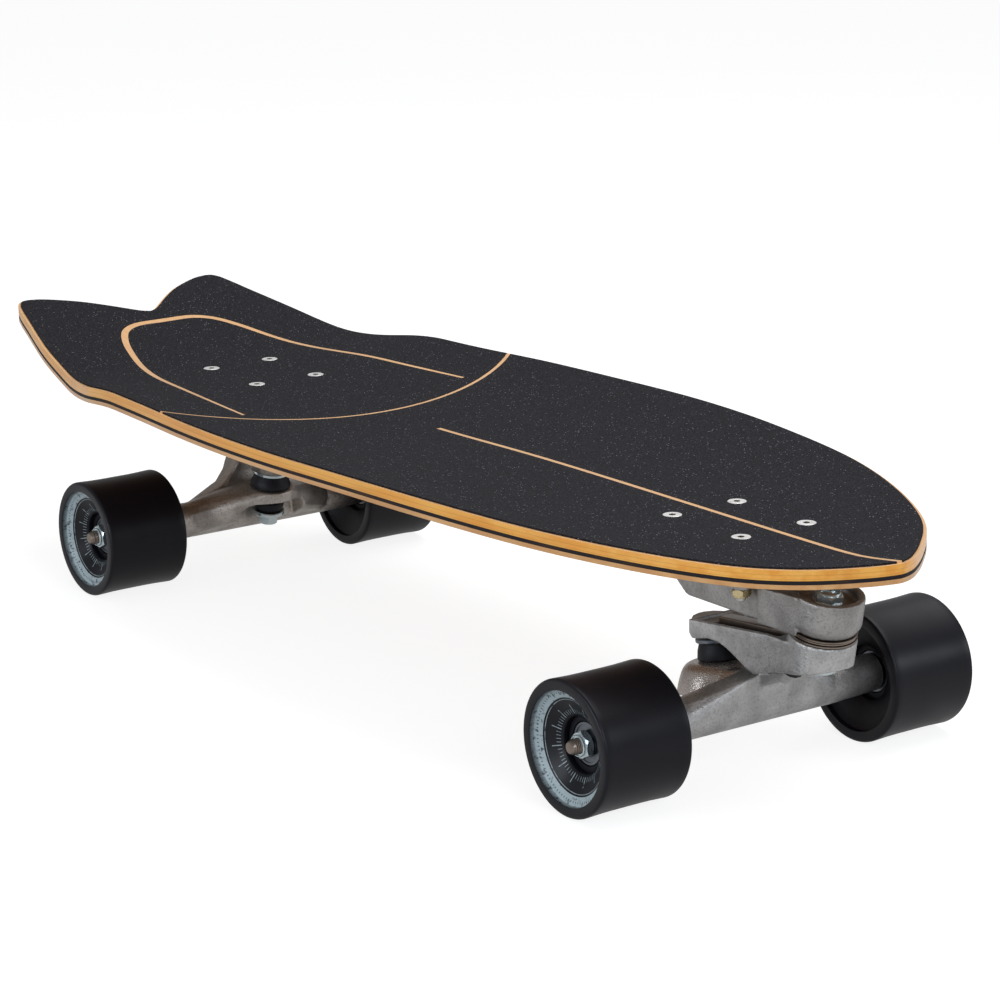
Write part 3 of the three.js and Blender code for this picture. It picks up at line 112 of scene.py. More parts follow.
# Grip sheets and the bare lines between them
GRIP_INSET = 1.7
GRIP_LIFT = 0.05
GRIP_THICKNESS = 1.0
LINE_APEX, LINE_RADIUS, LINE_WIDTH = -61.49, 180, 2.6
STRINGER_START, STRINGER_WIDTH = -5.6, 3
HORSESHOE_WIDTHS = (5.4, 2.2)
HEAD_HOLE = 5.05
LINE_DEPTH = 0.08
CUT_HEIGHTS = (80, 200)
CUT_PAST = 3

# Trucks: points in the middle plane and the lean of each axis in degrees, to the nose
SWIVEL = ((325, 84), 11)
KINGPINS = {"front": ((248, 43.5), -10), "rear": ((-194.8, 49.4), 11.5)}
PIVOT_BALL = ((303, 62.6), 43)
FOLLOWER = ((249.6, 70.9), -5)

# Kingpin stacks: half the ring's height, each bushing's height with its wide and its narrow radius,
# the washers' radii, the nut's half width and height, and how far the kingpin goes into its seat
STACKS = {
    "front": {
        "ring": 7.5, "upper": (10, 12.2, 10.4), "lower": (8, 12, 10.2),
        "washers": {"upper": 12.2, "lower": 12}, "nut": (6.8, 7), "grip": 6.6,
    },
    "rear": {
        "ring": 4.7, "upper": (8.9, 12.4, 8.8), "lower": (7.2, 9.2, 7.8),
        "washers": {"upper": 10.9, "lower": 9.7}, "nut": (5.6, 5.6), "grip": 12,
    },
}
SEAT_GAP = 0.3
WASHER_THICKNESS = 1.6
WASHER_LIP = 1.1
KINGPIN_RADIUS = 4.7
KINGPIN_PITCH = 1.25
BUSHING_BORE = 5.1
AXLES = {"front": 271.5, "rear": -217.5}
AXLE_REACH = 113.6
AXLE_RADIUS = 4
THREAD_START = 100
WHEEL_MIDDLE = 90.85
HANGER_REACH = 77.95
STEPS = 72
FINE_STEPS = 128
SMALL_STEPS = 40

# Deck bolts and their lock nuts, whose tops lie below the top of the base plate
SCREW_RADIUS, SCREW_PITCH = 2.4, 0.8
HEAD_RADIUS, HEAD_DEPTH, HEAD_PROUD, HEAD_EDGE = 4.9, 2.7, 0.25, 0.2
SOCKET_RADIUS, SOCKET_DEPTH = 1.9, 2.4
NUT_DROP, NUT_HEIGHT, NUT_FLAT, NUT_BORE = 14.3, 3.7, 4.65, 2.5
NUT_COLLAR, COLLAR_HEIGHT = 4.1, 0.9

# Tyre: half its width, how hollow its tread is, and its round corners
TYRE_HALF = 25.75
TREAD_HOLLOW, TREAD_CORNER, CORNER_STEPS = 0.5, 1.6, 6

# Share of the tread's hollow at each distance from the tyre's middle
HOLLOW_SHARES = ((1, 0), (1, 8), (0.8, 15), (0.25, 21))

# Sections of the turned pieces: radius, and height on their axis; the dish has its depth from the tyre's side
DISH_ROWS = (
    (29.1, 0), (28.85, 0.1), (28.75, 0.35), (28.7, 2.9), (28.45, 3.15), (24, 5.3), (18.5, 8.2), (14.6, 10.1),
    (14.2, 10.6),
)
BEARING_SEAT_ROWS = ((14.2, 12.6), (17.3, 12.6))
HUB_ROWS = (
    (9.8, -5), (11.3, -5), (11.3, -12.3), (17, -12.3), (17, 12.3), (11.3, 12.3), (11.3, 5), (9.8, 5),
    (9.8, -5),
)
BEARING_ROWS = (
    (4.3, 5), (10.6, 5), (11, 5.4), (11, 11.6), (10.6, 12), (9.5, 12), (9.4, 11.5), (6.1, 11.5), (6, 12),
    (4.6, 12), (4.3, 11.7), (4.3, 5),
)
SWIVEL_HOUSING_ROWS = ((6, 2), (15.2, 2), (17.7, 6), (17.7, 15.3), (6, 15.3), (6, 2))
ARM_COLLAR_ROWS = ((9.6, -2.1), (16.7, -2.1), (16.7, -13), (9.6, -13), (9.6, -2.1))
DOME_ROWS = (
    (7.6, -7.5), (24.5, -7.5), (24.1, -5.6), (23.2, -2.6), (22.2, 0.2), (21.1, 2.8), (19.9, 4.9), (18.3, 6.5),
    (16.2, 7.4), (15, 7.5), (7.6, 7.5), (7.6, -7.5),
)
STUD_ROWS = ((0, -11), (4.9, -11), (4.7, -6), (4.9, -3), (5, 0), (4.6, 2), (3.5, 3.5), (1.9, 4.6), (0, 5))
PIVOT_BOLT_ROWS = (
    (0, -19.9), (8.4, -19.9), (9, -19.3), (9, -17.2), (8.6, -16.9), (5, -16.9), (5, -11.7), (8.3, -11.7),
    (8.6, -11.4), (8.6, -2.6), (8.3, -2.3), (5, -2.3),
)
PIVOT_TIP_ROWS = ((4.6, 20), (4, 20.4), (0, 20.4))

# Where the true round ends of each hanger's tube start, the tube's radii at both ends, and its taper's start
TUBE_STARTS = {"front": 44, "rear": 46}
TUBE_ROOT, TUBE_TIP, TUBE_BORE = 10.8, 9.7, 4.4
TAPER_START, TAPER_SHARE = 42.9, 1.2 / 35

# Thrust rings of the swivel: radius, bottom and the body that each rides on
THRUST_RINGS = {
    "thrust_washer_lower": (16.4, -1.64, "front_arm"),
    "thrust_bearing": (15.8, -0.425, "board"),
    "thrust_washer_upper": (16.3, 0.79, "board"),
}
THRUST_BORE, THRUST_HEIGHT = 9.8, 0.85

# Bands printed in a wheel's dish: inner and outer radius and softness of the edge
PRINT_BANDS = {
    "ring": (24.4, 28.72, 0.05),
    "rail": (23.2, 23.55, 0.06),
    "beads": (26.6, 27.5, 0.06),
    "ticks": (15.6, 17.9, 0.06),
    "long_ticks": (15.6, 20.4, 0.06),
}
PRINT_START = 14


class BoardSizes(bpy.types.PropertyGroup):
    """Sizes of the dressed pieces that a user would change."""

    grain: bpy.props.FloatProperty(
        name="Casting mesh", description="Mesh size of the cast pieces", default=0.7 * MM, unit="LENGTH"
    )
    casting_smooth: bpy.props.IntProperty(
        name="Casting smoothing", description="How often a casting's corners are smoothed", default=4
    )
    thread_pitch: bpy.props.FloatProperty(
        name="Thread pitch", description="Distance between thread crests", default=1.0 * MM, unit="LENGTH"
    )


def colour(name, description, red, green, blue):
    return bpy.props.FloatVectorProperty(
        name=name, description=description, subtype="COLOR", size=3, default=(red, green, blue), min=0, max=1
    )


class BoardColours(bpy.types.PropertyGroup):
    """Colours of the board's finishes."""

    face_ply: colour("Face ply", "Pale face of the deck", 0.79, 0.45, 0.20)
    upper_ply: colour("Upper plies", "Varnished wood on the upper rail", 0.86, 0.345, 0.035)
    lower_ply: colour("Lower ply", "Varnished wood on the lower rail", 0.64, 0.31, 0.11)
    dark_ply: colour("Dark ply", "Dyed layer in the rail", 0.010, 0.007, 0.008)
    grit: colour("Grip", "Ground of the grip sheets", 0.010, 0.0095, 0.0115)
    # Grip grains colour: painted glints on the grit
    grain: colour("Grip grains", "Bright grains of the grip sheets", 0.36, 0.38, 0.42)
    light_casting: colour("Front castings", "Raw light metal", 0.54, 0.53, 0.52)
    # Rear base plate: the rear castings' metal made much darker, a painted shade under the deck
    shaded_casting: colour("Rear base casting", "Darker metal of the rear base plate", 0.25, 0.225, 0.20)
    # Front base plate: the front castings' metal made darker, a painted shade on its side
    base_casting: colour("Base casting", "Raw metal of the front base plate", 0.41, 0.395, 0.38)
    dark_casting: colour("Rear castings", "Tumbled darker metal", 0.53, 0.485, 0.445)
    zinc: colour("Zinc", "Bright plated steel", 0.60, 0.68, 0.70)
    brassy: colour("Yellow zinc", "Yellow plated nuts", 0.62, 0.50, 0.28)
    head: colour("Bolt heads", "Pale plated bolt heads", 0.80, 0.78, 0.76)
    # Bearing steel colour, also used as painted shade in the bolt sockets and on the front upper washer
    race: colour("Bearings", "Dark polished bearing steel", 0.17, 0.185, 0.205)
    steel: colour("Steel", "Plain steel", 0.27, 0.22, 0.185)
    # Urethane colour: black, with a faint blue that is a painted reflection of the bluish lamps
    urethane: colour("Urethane", "Wheels", 0.004, 0.004, 0.007)
    ring: colour("Wheel ring", "Pale printed ring in the wheels", 0.42, 0.50, 0.52)
    bushing: colour("Bushings", "Black urethane", 0.006, 0.006, 0.009)


def colour_of(name):
    return (*getattr(bpy.context.scene.board_colours, name), 1)


# Shader maths


class Value:
    """A shader output that takes part in sums, so that 1 - mask works."""

    def __init__(self, surface, socket):
        self.surface = surface
        self.socket = socket

    def math(self, operation, *values):
        return self.surface.value("ShaderNodeMath", {"operation": operation}, dict(enumerate(values)))

    def alone(self, operation):
        """An operation on this value alone, such as its root."""
        return self.math(operation, self)

    def __add__(self, other):
        return self.math("ADD", self, other)

    __radd__ = __add__

    def __sub__(self, other):
        return self.math("SUBTRACT", self, other)

    def __rsub__(self, other):
        return self.math("SUBTRACT", other, self)

    def __mul__(self, other):
        return self.math("MULTIPLY", self, other)

    __rmul__ = __mul__

    def __truediv__(self, other):
        return self.math("DIVIDE", self, other)

    def __lt__(self, other):
        return self.math("LESS_THAN", self, other)

    def __gt__(self, other):
        return self.math("GREATER_THAN", self, other)

    def smooth(self, low, high):
        """Rises from 0 to 1 as the value goes from low to high."""
        inputs = {"Value": self, "From Min": low, "From Max": high}
        return self.surface.value("ShaderNodeMapRange", {"interpolation_type": "SMOOTHSTEP"}, inputs)

    def band(self, low, high, soft):
        """1 between low and high, with soft edges."""
        return self.smooth(low - soft, low + soft) * (1 - self.smooth(high - soft, high + soft))


class Surface:
    """The nodes of one material, or of the world, written as expressions."""

    def __init__(self, owner):
        owner.use_nodes = True
        self.owner = owner
        self.tree = owner.node_tree

    def feed(self, socket, value):
        if isinstance(value, Value):
            self.tree.links.new(value.socket, socket)
        else:
            socket.default_value = value

    def node(self, kind, settings, inputs):
        made = self.tree.nodes.new(kind)
        for name, setting in settings.items():
            setattr(made, name, setting)
        for name, value in inputs.items():
            self.feed(made.inputs[name], value)
        return made

    def value(self, kind, settings, inputs, output=0):
        return Value(self, self.node(kind, settings, inputs).outputs[output])

    def mix(self, mask, first, second):
        """The first colour where the mask is 0 and the second where it is 1."""
        settings = {"data_type": "RGBA"}
        return self.value("ShaderNodeMix", settings, {0: mask, 6: first, 7: second}, 2)

    def spot(self, move=(0, 0, 0), stretch=(1, 1, 1)):
        """The place on the piece, moved and stretched."""
        place = self.value("ShaderNodeTexCoord", {}, {}, "Object")
        return self.value("ShaderNodeMapping", {}, {"Vector": place, "Location": move, "Scale": stretch})

    def noise(self, scale, detail=3, stretch=(1, 1, 1)):
        inputs = {"Vector": self.spot(stretch=stretch), "Scale": scale, "Detail": detail}
        return self.value("ShaderNodeTexNoise", {}, inputs)

    def cells(self, scale, output="Distance"):
        return self.value("ShaderNodeTexVoronoi", {}, {"Vector": self.spot(), "Scale": scale}, output)

    def parts(self, vector):
        split = self.node("ShaderNodeSeparateXYZ", {}, {0: vector})
        return [Value(self, socket) for socket in split.outputs]

    def bump(self, height, depth, strength=1.0):
        inputs = {"Height": height, "Distance": depth, "Strength": strength}
        return self.value("ShaderNodeBump", {}, inputs)

    def finish(self, sockets):
        """Feeds the material's shader and gives the material."""
        for name, value in sockets.items():
            self.feed(self.tree.nodes["Principled BSDF"].inputs[name], value)
        return self.owner


def wood(surface):
    """Varnished plies: pale face, amber rail with one dyed layer, tan below."""
    depth = surface.value("ShaderNodeAttribute", {"attribute_name": "ply_depth"}, {}, "Fac")
    streaks = surface.noise(1, 5, (7, 210, 210))
    clouds = surface.noise(1, 3, (16, 42, 42))
    warm = surface.mix(streaks.smooth(0.3, 0.75), colour_of("upper_ply"), (0.97, 0.49, 0.09, 1))
    lines = depth.band(0.25, 0.29, 0.02) + depth.band(0.46, 0.49, 0.015)
    warm = surface.mix(lines * 0.35, warm, (0.42, 0.17, 0.03, 1))
    face = surface.mix(streaks.smooth(0.35, 0.8), colour_of("face_ply"), (0.70, 0.38, 0.16, 1))
    upper = surface.mix(depth.smooth(0.005, 0.04), face, warm)
    lower = surface.mix(streaks.smooth(0.3, 0.8), colour_of("lower_ply"), (0.78, 0.44, 0.18, 1))
    plies = surface.mix(depth.smooth(0.64, 0.66), upper, lower)
    dyed = depth.band(0.55, 0.755, 0.008)
    plies = surface.mix(dyed, plies, colour_of("dark_ply"))
    plies = surface.mix(clouds.smooth(0.5, 0.85) * 0.22, plies, (0.30, 0.13, 0.035, 1))
    return surface.finish({
        "Base Color": plies,
        "Roughness": 0.36 + streaks * 0.12 + dyed * 0.3,
        "Normal": surface.bump(streaks, 0.05 * MM, 0.5),
        "Coat Weight": 0.6 - dyed * 0.6,
        "Coat Roughness": 0.16,
        "Specular IOR Level": 0.3,
    })


def grit(surface):
    """Black grip sheet with bright specks on some grains: painted glints."""
    grains = surface.cells(1150)
    pick = surface.parts(surface.cells(1150, "Color"))[0]
    fine = surface.noise(1500, 2)
    # Painted glints: bright specks on some grains, with lower roughness
    bright = (pick > 0.965) * (grains < 0.36)
    dull = (pick < 0.35) * (grains < 0.45)
    ground = surface.mix(fine.smooth(0.40, 0.68), colour_of("grit"), (0.025, 0.024, 0.029, 1))
    ground = surface.mix(dull * 0.5, ground, (0.050, 0.050, 0.058, 1))
    ground = surface.mix(bright * 0.55, ground, colour_of("grain"))
    return surface.finish({
        "Base Color": ground,
        "Roughness": 0.86 - bright * 0.35,
        "Normal": surface.bump(fine - grains * 0.6, 0.25 * MM, 0.6),
        "Specular IOR Level": 0.12,
    })


def cast_metal(surface, base, shade, rough, polished=None):
    """Raw cast metal: fine sandy skin with cloudy patches, and a polished place if one is named."""
    sand = surface.noise(1400, 3)
    grains = surface.noise(800, 2)
    clouds = surface.noise(75, 5)
    colour_now = surface.mix(clouds.smooth(0.32, 0.70) * 0.75, colour_of(base), shade)
    pits = tuple(part * 0.5 for part in shade[:3]) + (1,)
    colour_now = surface.mix(grains.smooth(0.45, 0.75) * 0.4, colour_now, pits)
    roughness = rough + sand * 0.16 - grains * 0.1
    relief = sand + grains + clouds * 0.5
    if polished:
        (x, z), lean, radius = polished
        spot = surface.spot(move=(-x * MM, 0, -z * MM))
        along, across, up = surface.parts(spot)
        turn = math.radians(lean)
        level = along * math.cos(turn) - up * math.sin(turn)
        height = along * math.sin(turn) + up * math.cos(turn)
        away = (level * level + across * across).alone("SQRT")
        inside = 1 - away.smooth((radius - 2) * MM, (radius + 1.5) * MM)
        mask = inside * height.band(-7 * MM, 12 * MM, 2 * MM)
        colour_now = surface.mix(mask * 0.8, colour_now, (0.50, 0.43, 0.385, 1))
        roughness = roughness - mask * 0.17
        relief = relief * (1 - mask * 0.3)
    return surface.finish({
        "Base Color": colour_now,
        "Metallic": 0.85,
        "Roughness": roughness,
        "Normal": surface.bump(relief, 0.22 * MM, 0.8),
    })


def plated(surface, base, rough, metallic=1.0):
    """Plated or turned steel with fine brushed marks."""
    marks = surface.noise(900, 3)
    clouds = surface.noise(160, 3)
    shade = tuple(part * 0.62 for part in colour_of(base)[:3]) + (1,)
    return surface.finish({
        "Base Color": surface.mix(clouds.smooth(0.45, 0.8) * 0.7, colour_of(base), shade),
        "Metallic": metallic,
        "Roughness": rough + marks * 0.16,
        "Normal": surface.bump(marks, 0.03 * MM, 0.5),
    })


def rubbery(surface, base, rough):
    """Satin black urethane with faint handling marks."""
    haze = surface.noise(45, 4)
    fine = surface.noise(1300, 2)
    return surface.finish({
        "Base Color": base,
        "Roughness": rough + haze * 0.14,
        "Normal": surface.bump(fine, 0.03 * MM, 0.4),
        "Specular IOR Level": 0.24,
    })


def plain_rubber(surface, base, rough):
    return rubbery(surface, colour_of(base), rough)


def wheel_finish(surface, end):
    """Black wheel with a plain pale ring and short ticks printed in its dish."""
    spot = surface.spot(move=(-AXLES[end] * MM, 0, -AXLE_HEIGHT * MM))
    along, across, up = surface.parts(spot)
    radius = (along * along + up * up).alone("SQRT")
    outward = across.alone("ABSOLUTE") - (WHEEL_MIDDLE + PRINT_START) * MM
    turn = up.math("ARCTAN2", up, along) / (2 * math.pi)

    def repeat(count, low, high, soft):
        """Marks that repeat round the axis, each between two shares of its turn."""
        return (turn * count).alone("FRACT").band(low, high, soft)

    bands = {name: radius.band(*(size * MM for size in sizes)) for name, sizes in PRINT_BANDS.items()}
    beads = repeat(90, 0.22, 0.5, 0.05) * bands["beads"]
    ticks = repeat(60, 0.4, 0.56, 0.04) * bands["ticks"]
    long_ticks = repeat(12, 0.46, 0.50, 0.01) * bands["long_ticks"]
    marks = bands["ring"] * (1 - beads * 0.8) + bands["rail"] * 0.7 + ticks * 0.75 + long_ticks * 0.9
    printed = (outward > 0) * marks
    wear = surface.noise(420, 3).smooth(0.25, 0.5)
    mask = printed.math("MINIMUM", printed, 1) * wear
    return rubbery(surface, surface.mix(mask, colour_of("urethane"), colour_of("ring")), 0.30)


# Each finish's maker with its values: castings have a shade, a roughness and a polished place if any
FINISHES = {
    "varnished_plies": (wood,),
    "black_grit": (grit,),
    "light_cast_metal": (
        cast_metal, "light_casting", (0.33, 0.322, 0.315, 1), 0.42, (*KINGPINS["front"], 26),
    ),
    # The front base plate's finish is the light casting darkened: painted shade
    "painted_shade_base_metal": (cast_metal, "base_casting", (0.25, 0.24, 0.23, 1), 0.42),
    "dark_cast_metal": (cast_metal, "dark_casting", (0.27, 0.24, 0.215, 1), 0.34),
    # The rear base plate's finish is the rear casting darkened: painted shade
    "painted_shade_rear_metal": (cast_metal, "shaded_casting", (0.12, 0.105, 0.09, 1), 0.40),
    "bright_zinc": (plated, "zinc", 0.16, 0.8),
    "yellow_zinc": (plated, "brassy", 0.2),
    "plain_steel": (plated, "steel", 0.26),
    # Dark bearing steel, and painted shade in the bolt sockets and on the front upper washer
    "pale_zinc": (plated, "head", 0.34, 0.55),
    "dark_steel_and_painted_shade": (plated, "race", 0.24),
    "black_bushing": (plain_rubber, "bushing", 0.42),
    "black_hub": (plain_rubber, "urethane", 0.5),
    "front_wheel_urethane": (wheel_finish, "front"),
    "rear_wheel_urethane": (wheel_finish, "rear"),
}
made_finishes = {}


def finish_named(name):
    if name not in made_finishes:
        maker, *values = FINISHES[name]
        made_finishes[name] = maker(Surface(bpy.data.materials.new(name)), *values)
    return made_finishes[name]


# Modelling helpers


def select_only(*objects):
    if bpy.context.object and bpy.context.object.mode != "OBJECT":
        bpy.ops.object.mode_set(mode="OBJECT")
    bpy.ops.object.select_all(action="DESELECT")
    for one in objects:
        one.select_set(True)
    bpy.context.view_layer.objects.active = objects[-1]


def edit(piece):
    select_only(piece)
    bpy.ops.object.mode_set(mode="EDIT")
    bpy.ops.mesh.select_mode(type="VERT")
    bpy.ops.mesh.select_all(action="SELECT")


def leave_edit():
    bpy.ops.object.mode_set(mode="OBJECT")


def close_outward():
    """Turns every face outwards and leaves edit mode."""
    bpy.ops.mesh.select_all(action="SELECT")
    bpy.ops.mesh.normals_make_consistent(inside=False)
    leave_edit()


def apply_modifier(piece, kind, **settings):
    select_only(piece)
    modifier = piece.modifiers.new(kind.title(), kind)
    for name, value in settings.items():
        setattr(modifier, name, value)
    bpy.ops.object.modifier_apply(modifier=modifier.name)


def combine(piece, tool, operation):
    """Joins, cuts or trims a piece with a tool, which is used up."""
    apply_modifier(piece, "BOOLEAN", object=tool, operation=operation, solver="EXACT")
    bpy.data.objects.remove(tool)


def joined(first, *others):
    select_only(*others, first)
    bpy.ops.object.join()
    return first


def put(piece, matrix):
    """Moves a piece that was made at the origin to its place."""
    piece.matrix_world = matrix
    select_only(piece)
    bpy.ops.object.transform_apply(location=True, rotation=True, scale=True)
    return piece


def leaning(point, degrees):
    """A place on an axis in the middle plane that leans to the nose."""
    x, z = point
    return Matrix.Translation((x * MM, 0, z * MM)) @ Matrix.Rotation(math.radians(degrees), 4, "Y")


def crosswise(x, y, side):
    """A place on a wheel's axis, facing outwards."""
    place = Matrix.Translation((x * MM, y * MM, AXLE_HEIGHT * MM))
    return place @ Matrix.Rotation(-side * math.pi / 2, 4, "X")


def turned(name, profile, steps=STEPS):
    """A shape turned about Z from [radius, height] pairs in millimetres, ring by ring."""
    tiny = 0.01
    rings = [(max(radius, tiny), height) for radius, height in profile]
    (radius_now, height_now), *rest = rings
    start = (0, 0, height_now * MM)
    bpy.ops.mesh.primitive_circle_add(vertices=steps, radius=radius_now * MM, location=start)
    piece = bpy.context.object
    piece.name = name
    bpy.ops.object.transform_apply(location=True, rotation=True, scale=True)
    edit(piece)
    for radius, height in rest:
        bpy.ops.mesh.extrude_edges_move(TRANSFORM_OT_translate={"value": (0, 0, (height - height_now) * MM)})
        scale = radius / radius_now
        bpy.ops.transform.resize(value=(scale, scale, 1), center_override=(0, 0, height * MM))
        radius_now, height_now = radius, height
    bpy.ops.mesh.select_all(action="SELECT")
    bpy.ops.mesh.remove_doubles(threshold=3 * tiny * MM)
    close_outward()
    return piece


def bar_rows(radius, low, high):
    """Profile of a plain round bar."""
    return [(0, low), (radius, low), (radius, high), (0, high)]


def rounded_ring(bore, radius, low, high, chamfer):
    """Profile of a ring with broken edges, closed on itself."""
    return [
        (bore, low + chamfer), (bore + chamfer, low), (radius - chamfer, low), (radius, low + chamfer),
        (radius, high - chamfer), (radius - chamfer, high), (bore + chamfer, high), (bore, high - chamfer),
        (bore, low + chamfer),
    ]


def threaded(radius, low, high, pitch):
    """Profile of thread crests and roots between two heights."""
    root = radius - pitch / 4
    rows = []
    for i in range(round((high - low) / pitch)):
        start = low + i * pitch
        crest_shares = ((root, 0.1), (radius, 0.45), (radius, 0.55), (root, 0.9))
        rows += [(ring, start + share * pitch) for ring, share in crest_shares]
    return rows


def hex_nut(name, flat, low, high, bore, collar=0.0):
    """A hexagon nut with chamfered corners, a bore and an optional round collar on top."""
    corner = flat / math.cos(math.pi / 6)
    chamfer, top_share, collar_share = 0.9, 0.98, 0.88
    cone = [
        (0, low), (flat, low), (corner, low + chamfer),
        (corner, high - chamfer), (flat * top_share, high), (0, high),
    ]
    nut = turned(name, bar_rows(corner, low, high), 6)
    combine(nut, turned("nut_chamfer", cone), "INTERSECT")
    if collar:
        outer, top = flat * collar_share, high + collar
        foot, edge, slope, wall, sink = high - 0.5, 0.5, 0.4, 0.9, 0.8
        ring = [
            (bore, foot), (outer, foot), (outer, top - edge), (outer - slope, top), (outer - 0.7, top),
            (outer - wall, top - sink), (bore, top - sink), (bore, foot),
        ]
        combine(nut, turned("nut_collar", ring), "UNION")
    combine(nut, turned("nut_bore", bar_rows(bore, low - 1, high + CUT_PAST), SMALL_STEPS), "DIFFERENCE")
    return nut


def dressed(piece, name, body, finish, slot, *nodes, angle=35):
    """Names a piece, gives it its finish and lets it ride in place of its solids."""
    piece.name = name
    piece.data.name = name
    piece.data.materials.clear()
    piece.data.materials.append(finish_named(finish))
    select_only(piece)
    if angle:
        bpy.ops.object.shade_smooth_by_angle(angle=math.radians(angle))
    else:
        bpy.ops.object.shade_smooth()
    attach(piece, body)
    if nodes:
        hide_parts(*nodes)
    return piece


def copy_of_node(node, name):
    """A loose copy of a solid with its doubled corners merged."""
    copy = bpy.data.objects.new(name, NODES[node].data.copy())
    bpy.context.scene.collection.objects.link(copy)
    edit(copy)
    bpy.ops.mesh.remove_doubles(threshold=0.002 * MM)
    leave_edit()
    return copy


def casting(node, body, finish, slot, *shapes):
    """A casting: the solid and its true round shapes melted into one skin with soft corners."""
    sizes = bpy.context.scene.board_sizes
    piece = copy_of_node(node, node + "_casting")
    if shapes:
        joined(piece, *shapes)
    apply_modifier(piece, "REMESH", mode="VOXEL", voxel_size=sizes.grain, adaptivity=0)
    apply_modifier(piece, "SMOOTH", factor=0.5, iterations=sizes.casting_smooth)
    return dressed(piece, node + "_casting", body, finish, slot, node, angle=0)


def turned_piece(rows, place, name, body, finish, slot, *nodes, steps=STEPS, angle=35):
    """Turns a piece, puts it in its place and dresses it."""
    return dressed(put(turned(name, rows, steps), place), name, body, finish, slot, *nodes, angle=angle)


def middle_of(node):
    """A node's middle in plan."""
    low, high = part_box(node)
    return (low.xy + high.xy) / 2


# Deck shape


def smooth_step(low, high, value):
    share = min(max((value - low) / (high - low), 0), 1)
    return share * share * (3 - 2 * share)


def deck_rise(x, y):
    past = KICK_START - x
    kick = KICK_SLOPE * (math.hypot(past, KICK_ROUND) + past) / 2
    nose = NOSE_RISE * (1 + math.tanh((x - NOSE_RISE_MIDDLE) / NOSE_RISE_SPAN)) / 2
    ahead = x - NOSE_KICK_START
    nose_kick = NOSE_KICK_SLOPE * (math.hypot(ahead, NOSE_KICK_ROUND) + ahead) / 2
    concave = CONCAVE_RISE * (1 - smooth_step(*CONCAVE_FADE, x)) * (2 * y / DECK_WIDTH) ** 2
    return kick + nose + nose_kick + concave


def deck_top(x, y):
    """Height of the deck's upper face in millimetres."""
    return AXLE_HEIGHT + FRONT_STAND - deck_rise(FRONT_BOLTS_X, 0) + deck_rise(x, y) + DECK_THICKNESS


def curve_through(shares, steps):
    """A centripetal curve through points given as shares of the half length and half width."""
    points = [Vector((along * DECK_LENGTH / 2, across * DECK_WIDTH / 2)) for along, across in shares]
    points = [2 * points[0] - points[1], *points, 2 * points[-1] - points[-2]]
    spans = len(points) - 3
    path = []
    for step in range(steps + 1):
        at = spans * step / steps
        i = min(int(at), spans - 1)
        t = at - i
        before, start, end, after = points[i : i + 4]
        pairs = ((before, start), (start, end), (end, after))
        first, span, last = [math.sqrt((b - a).length) for a, b in pairs]
        leave = ((start - before) / first - (end - before) / (first + span) + (end - start) / span) * span
        arrive = ((end - start) / span - (after - start) / (span + last) + (after - end) / last) * span
        bend = 3 * (end - start) - 2 * leave - arrive
        twist = 2 * (start - end) + leave + arrive
        path.append(start + leave * t + bend * t * t + twist * t * t * t)
    return path


def deck_outline(inset):
    """The closed outline, moved inwards."""
    half = curve_through(RAIL_SHARES, RAIL_STEPS) + curve_through(TAIL_SHARES, TAIL_STEPS)[1:]
    loop = half + [Vector((point.x, -point.y)) for point in reversed(half[1:-1])]
    inner = []
    for i, point in enumerate(loop):
        along = (loop[(i + 1) % len(loop)] - loop[i - 1]).normalized()
        inner.append(point + Vector((-along.y, along.x)) * inset)
    return inner


def mesh_piece(name, points, faces):
    mesh = bpy.data.meshes.new(name)
    mesh.from_pydata([tuple(part * MM for part in point) for point in points], [], faces)
    piece = bpy.data.objects.new(name, mesh)
    bpy.context.scene.collection.objects.link(piece)
    return piece


def deck_sheet(name, inset, lift, thickness):
    """The board's outline filled, cut into a fine grid, laid on the deck's curve and thickened."""
    outline = deck_outline(inset)
    sheet = mesh_piece(name, [(point.x, point.y, 0) for point in outline], [list(range(len(outline)))])
    edit(sheet)
    for spacing, length, normal in (
        (GRID_ALONG, DECK_LENGTH, Vector((1, 0, 0))),
        (GRID_ACROSS, DECK_WIDTH, Vector((0, 1, 0))),
    ):
        count = int(length / 2 / spacing)
        for i in range(-count, count + 1):
            bpy.ops.mesh.select_all(action="SELECT")
            bpy.ops.mesh.bisect(plane_co=normal * i * spacing * MM, plane_no=normal)
    leave_edit()
    for vertex in sheet.data.vertices:
        vertex.co.z = (deck_top(vertex.co.x / MM, vertex.co.y / MM) + lift) * MM
    edit(sheet)
    bpy.ops.mesh.extrude_region_move(TRANSFORM_OT_translate={"value": (0, 0, -thickness * MM)})
    close_outward()
    return sheet


def round_rim(piece, upper, size):
    """Rounds the upper or the lower rim of the board."""
    edit(piece)
    bpy.ops.mesh.select_mode(type="EDGE")
    bpy.ops.mesh.select_all(action="DESELECT")
    leave_edit()
    sides = {}
    for face in piece.data.polygons:
        for key in face.edge_keys:
            sides.setdefault(key, []).append(face.normal.z)
    for an_edge in piece.data.edges:
        normals = sides[an_edge.key]
        lift = max(normals) if upper else -min(normals)
        wall = min(abs(part) for part in normals)
        an_edge.select = lift > 0.8 and wall < 0.3
    bpy.ops.object.mode_set(mode="EDIT")
    bpy.ops.mesh.bevel(offset=size * MM, segments=ROUND_STEPS, profile=0.5, clamp_overlap=True)
    leave_edit()


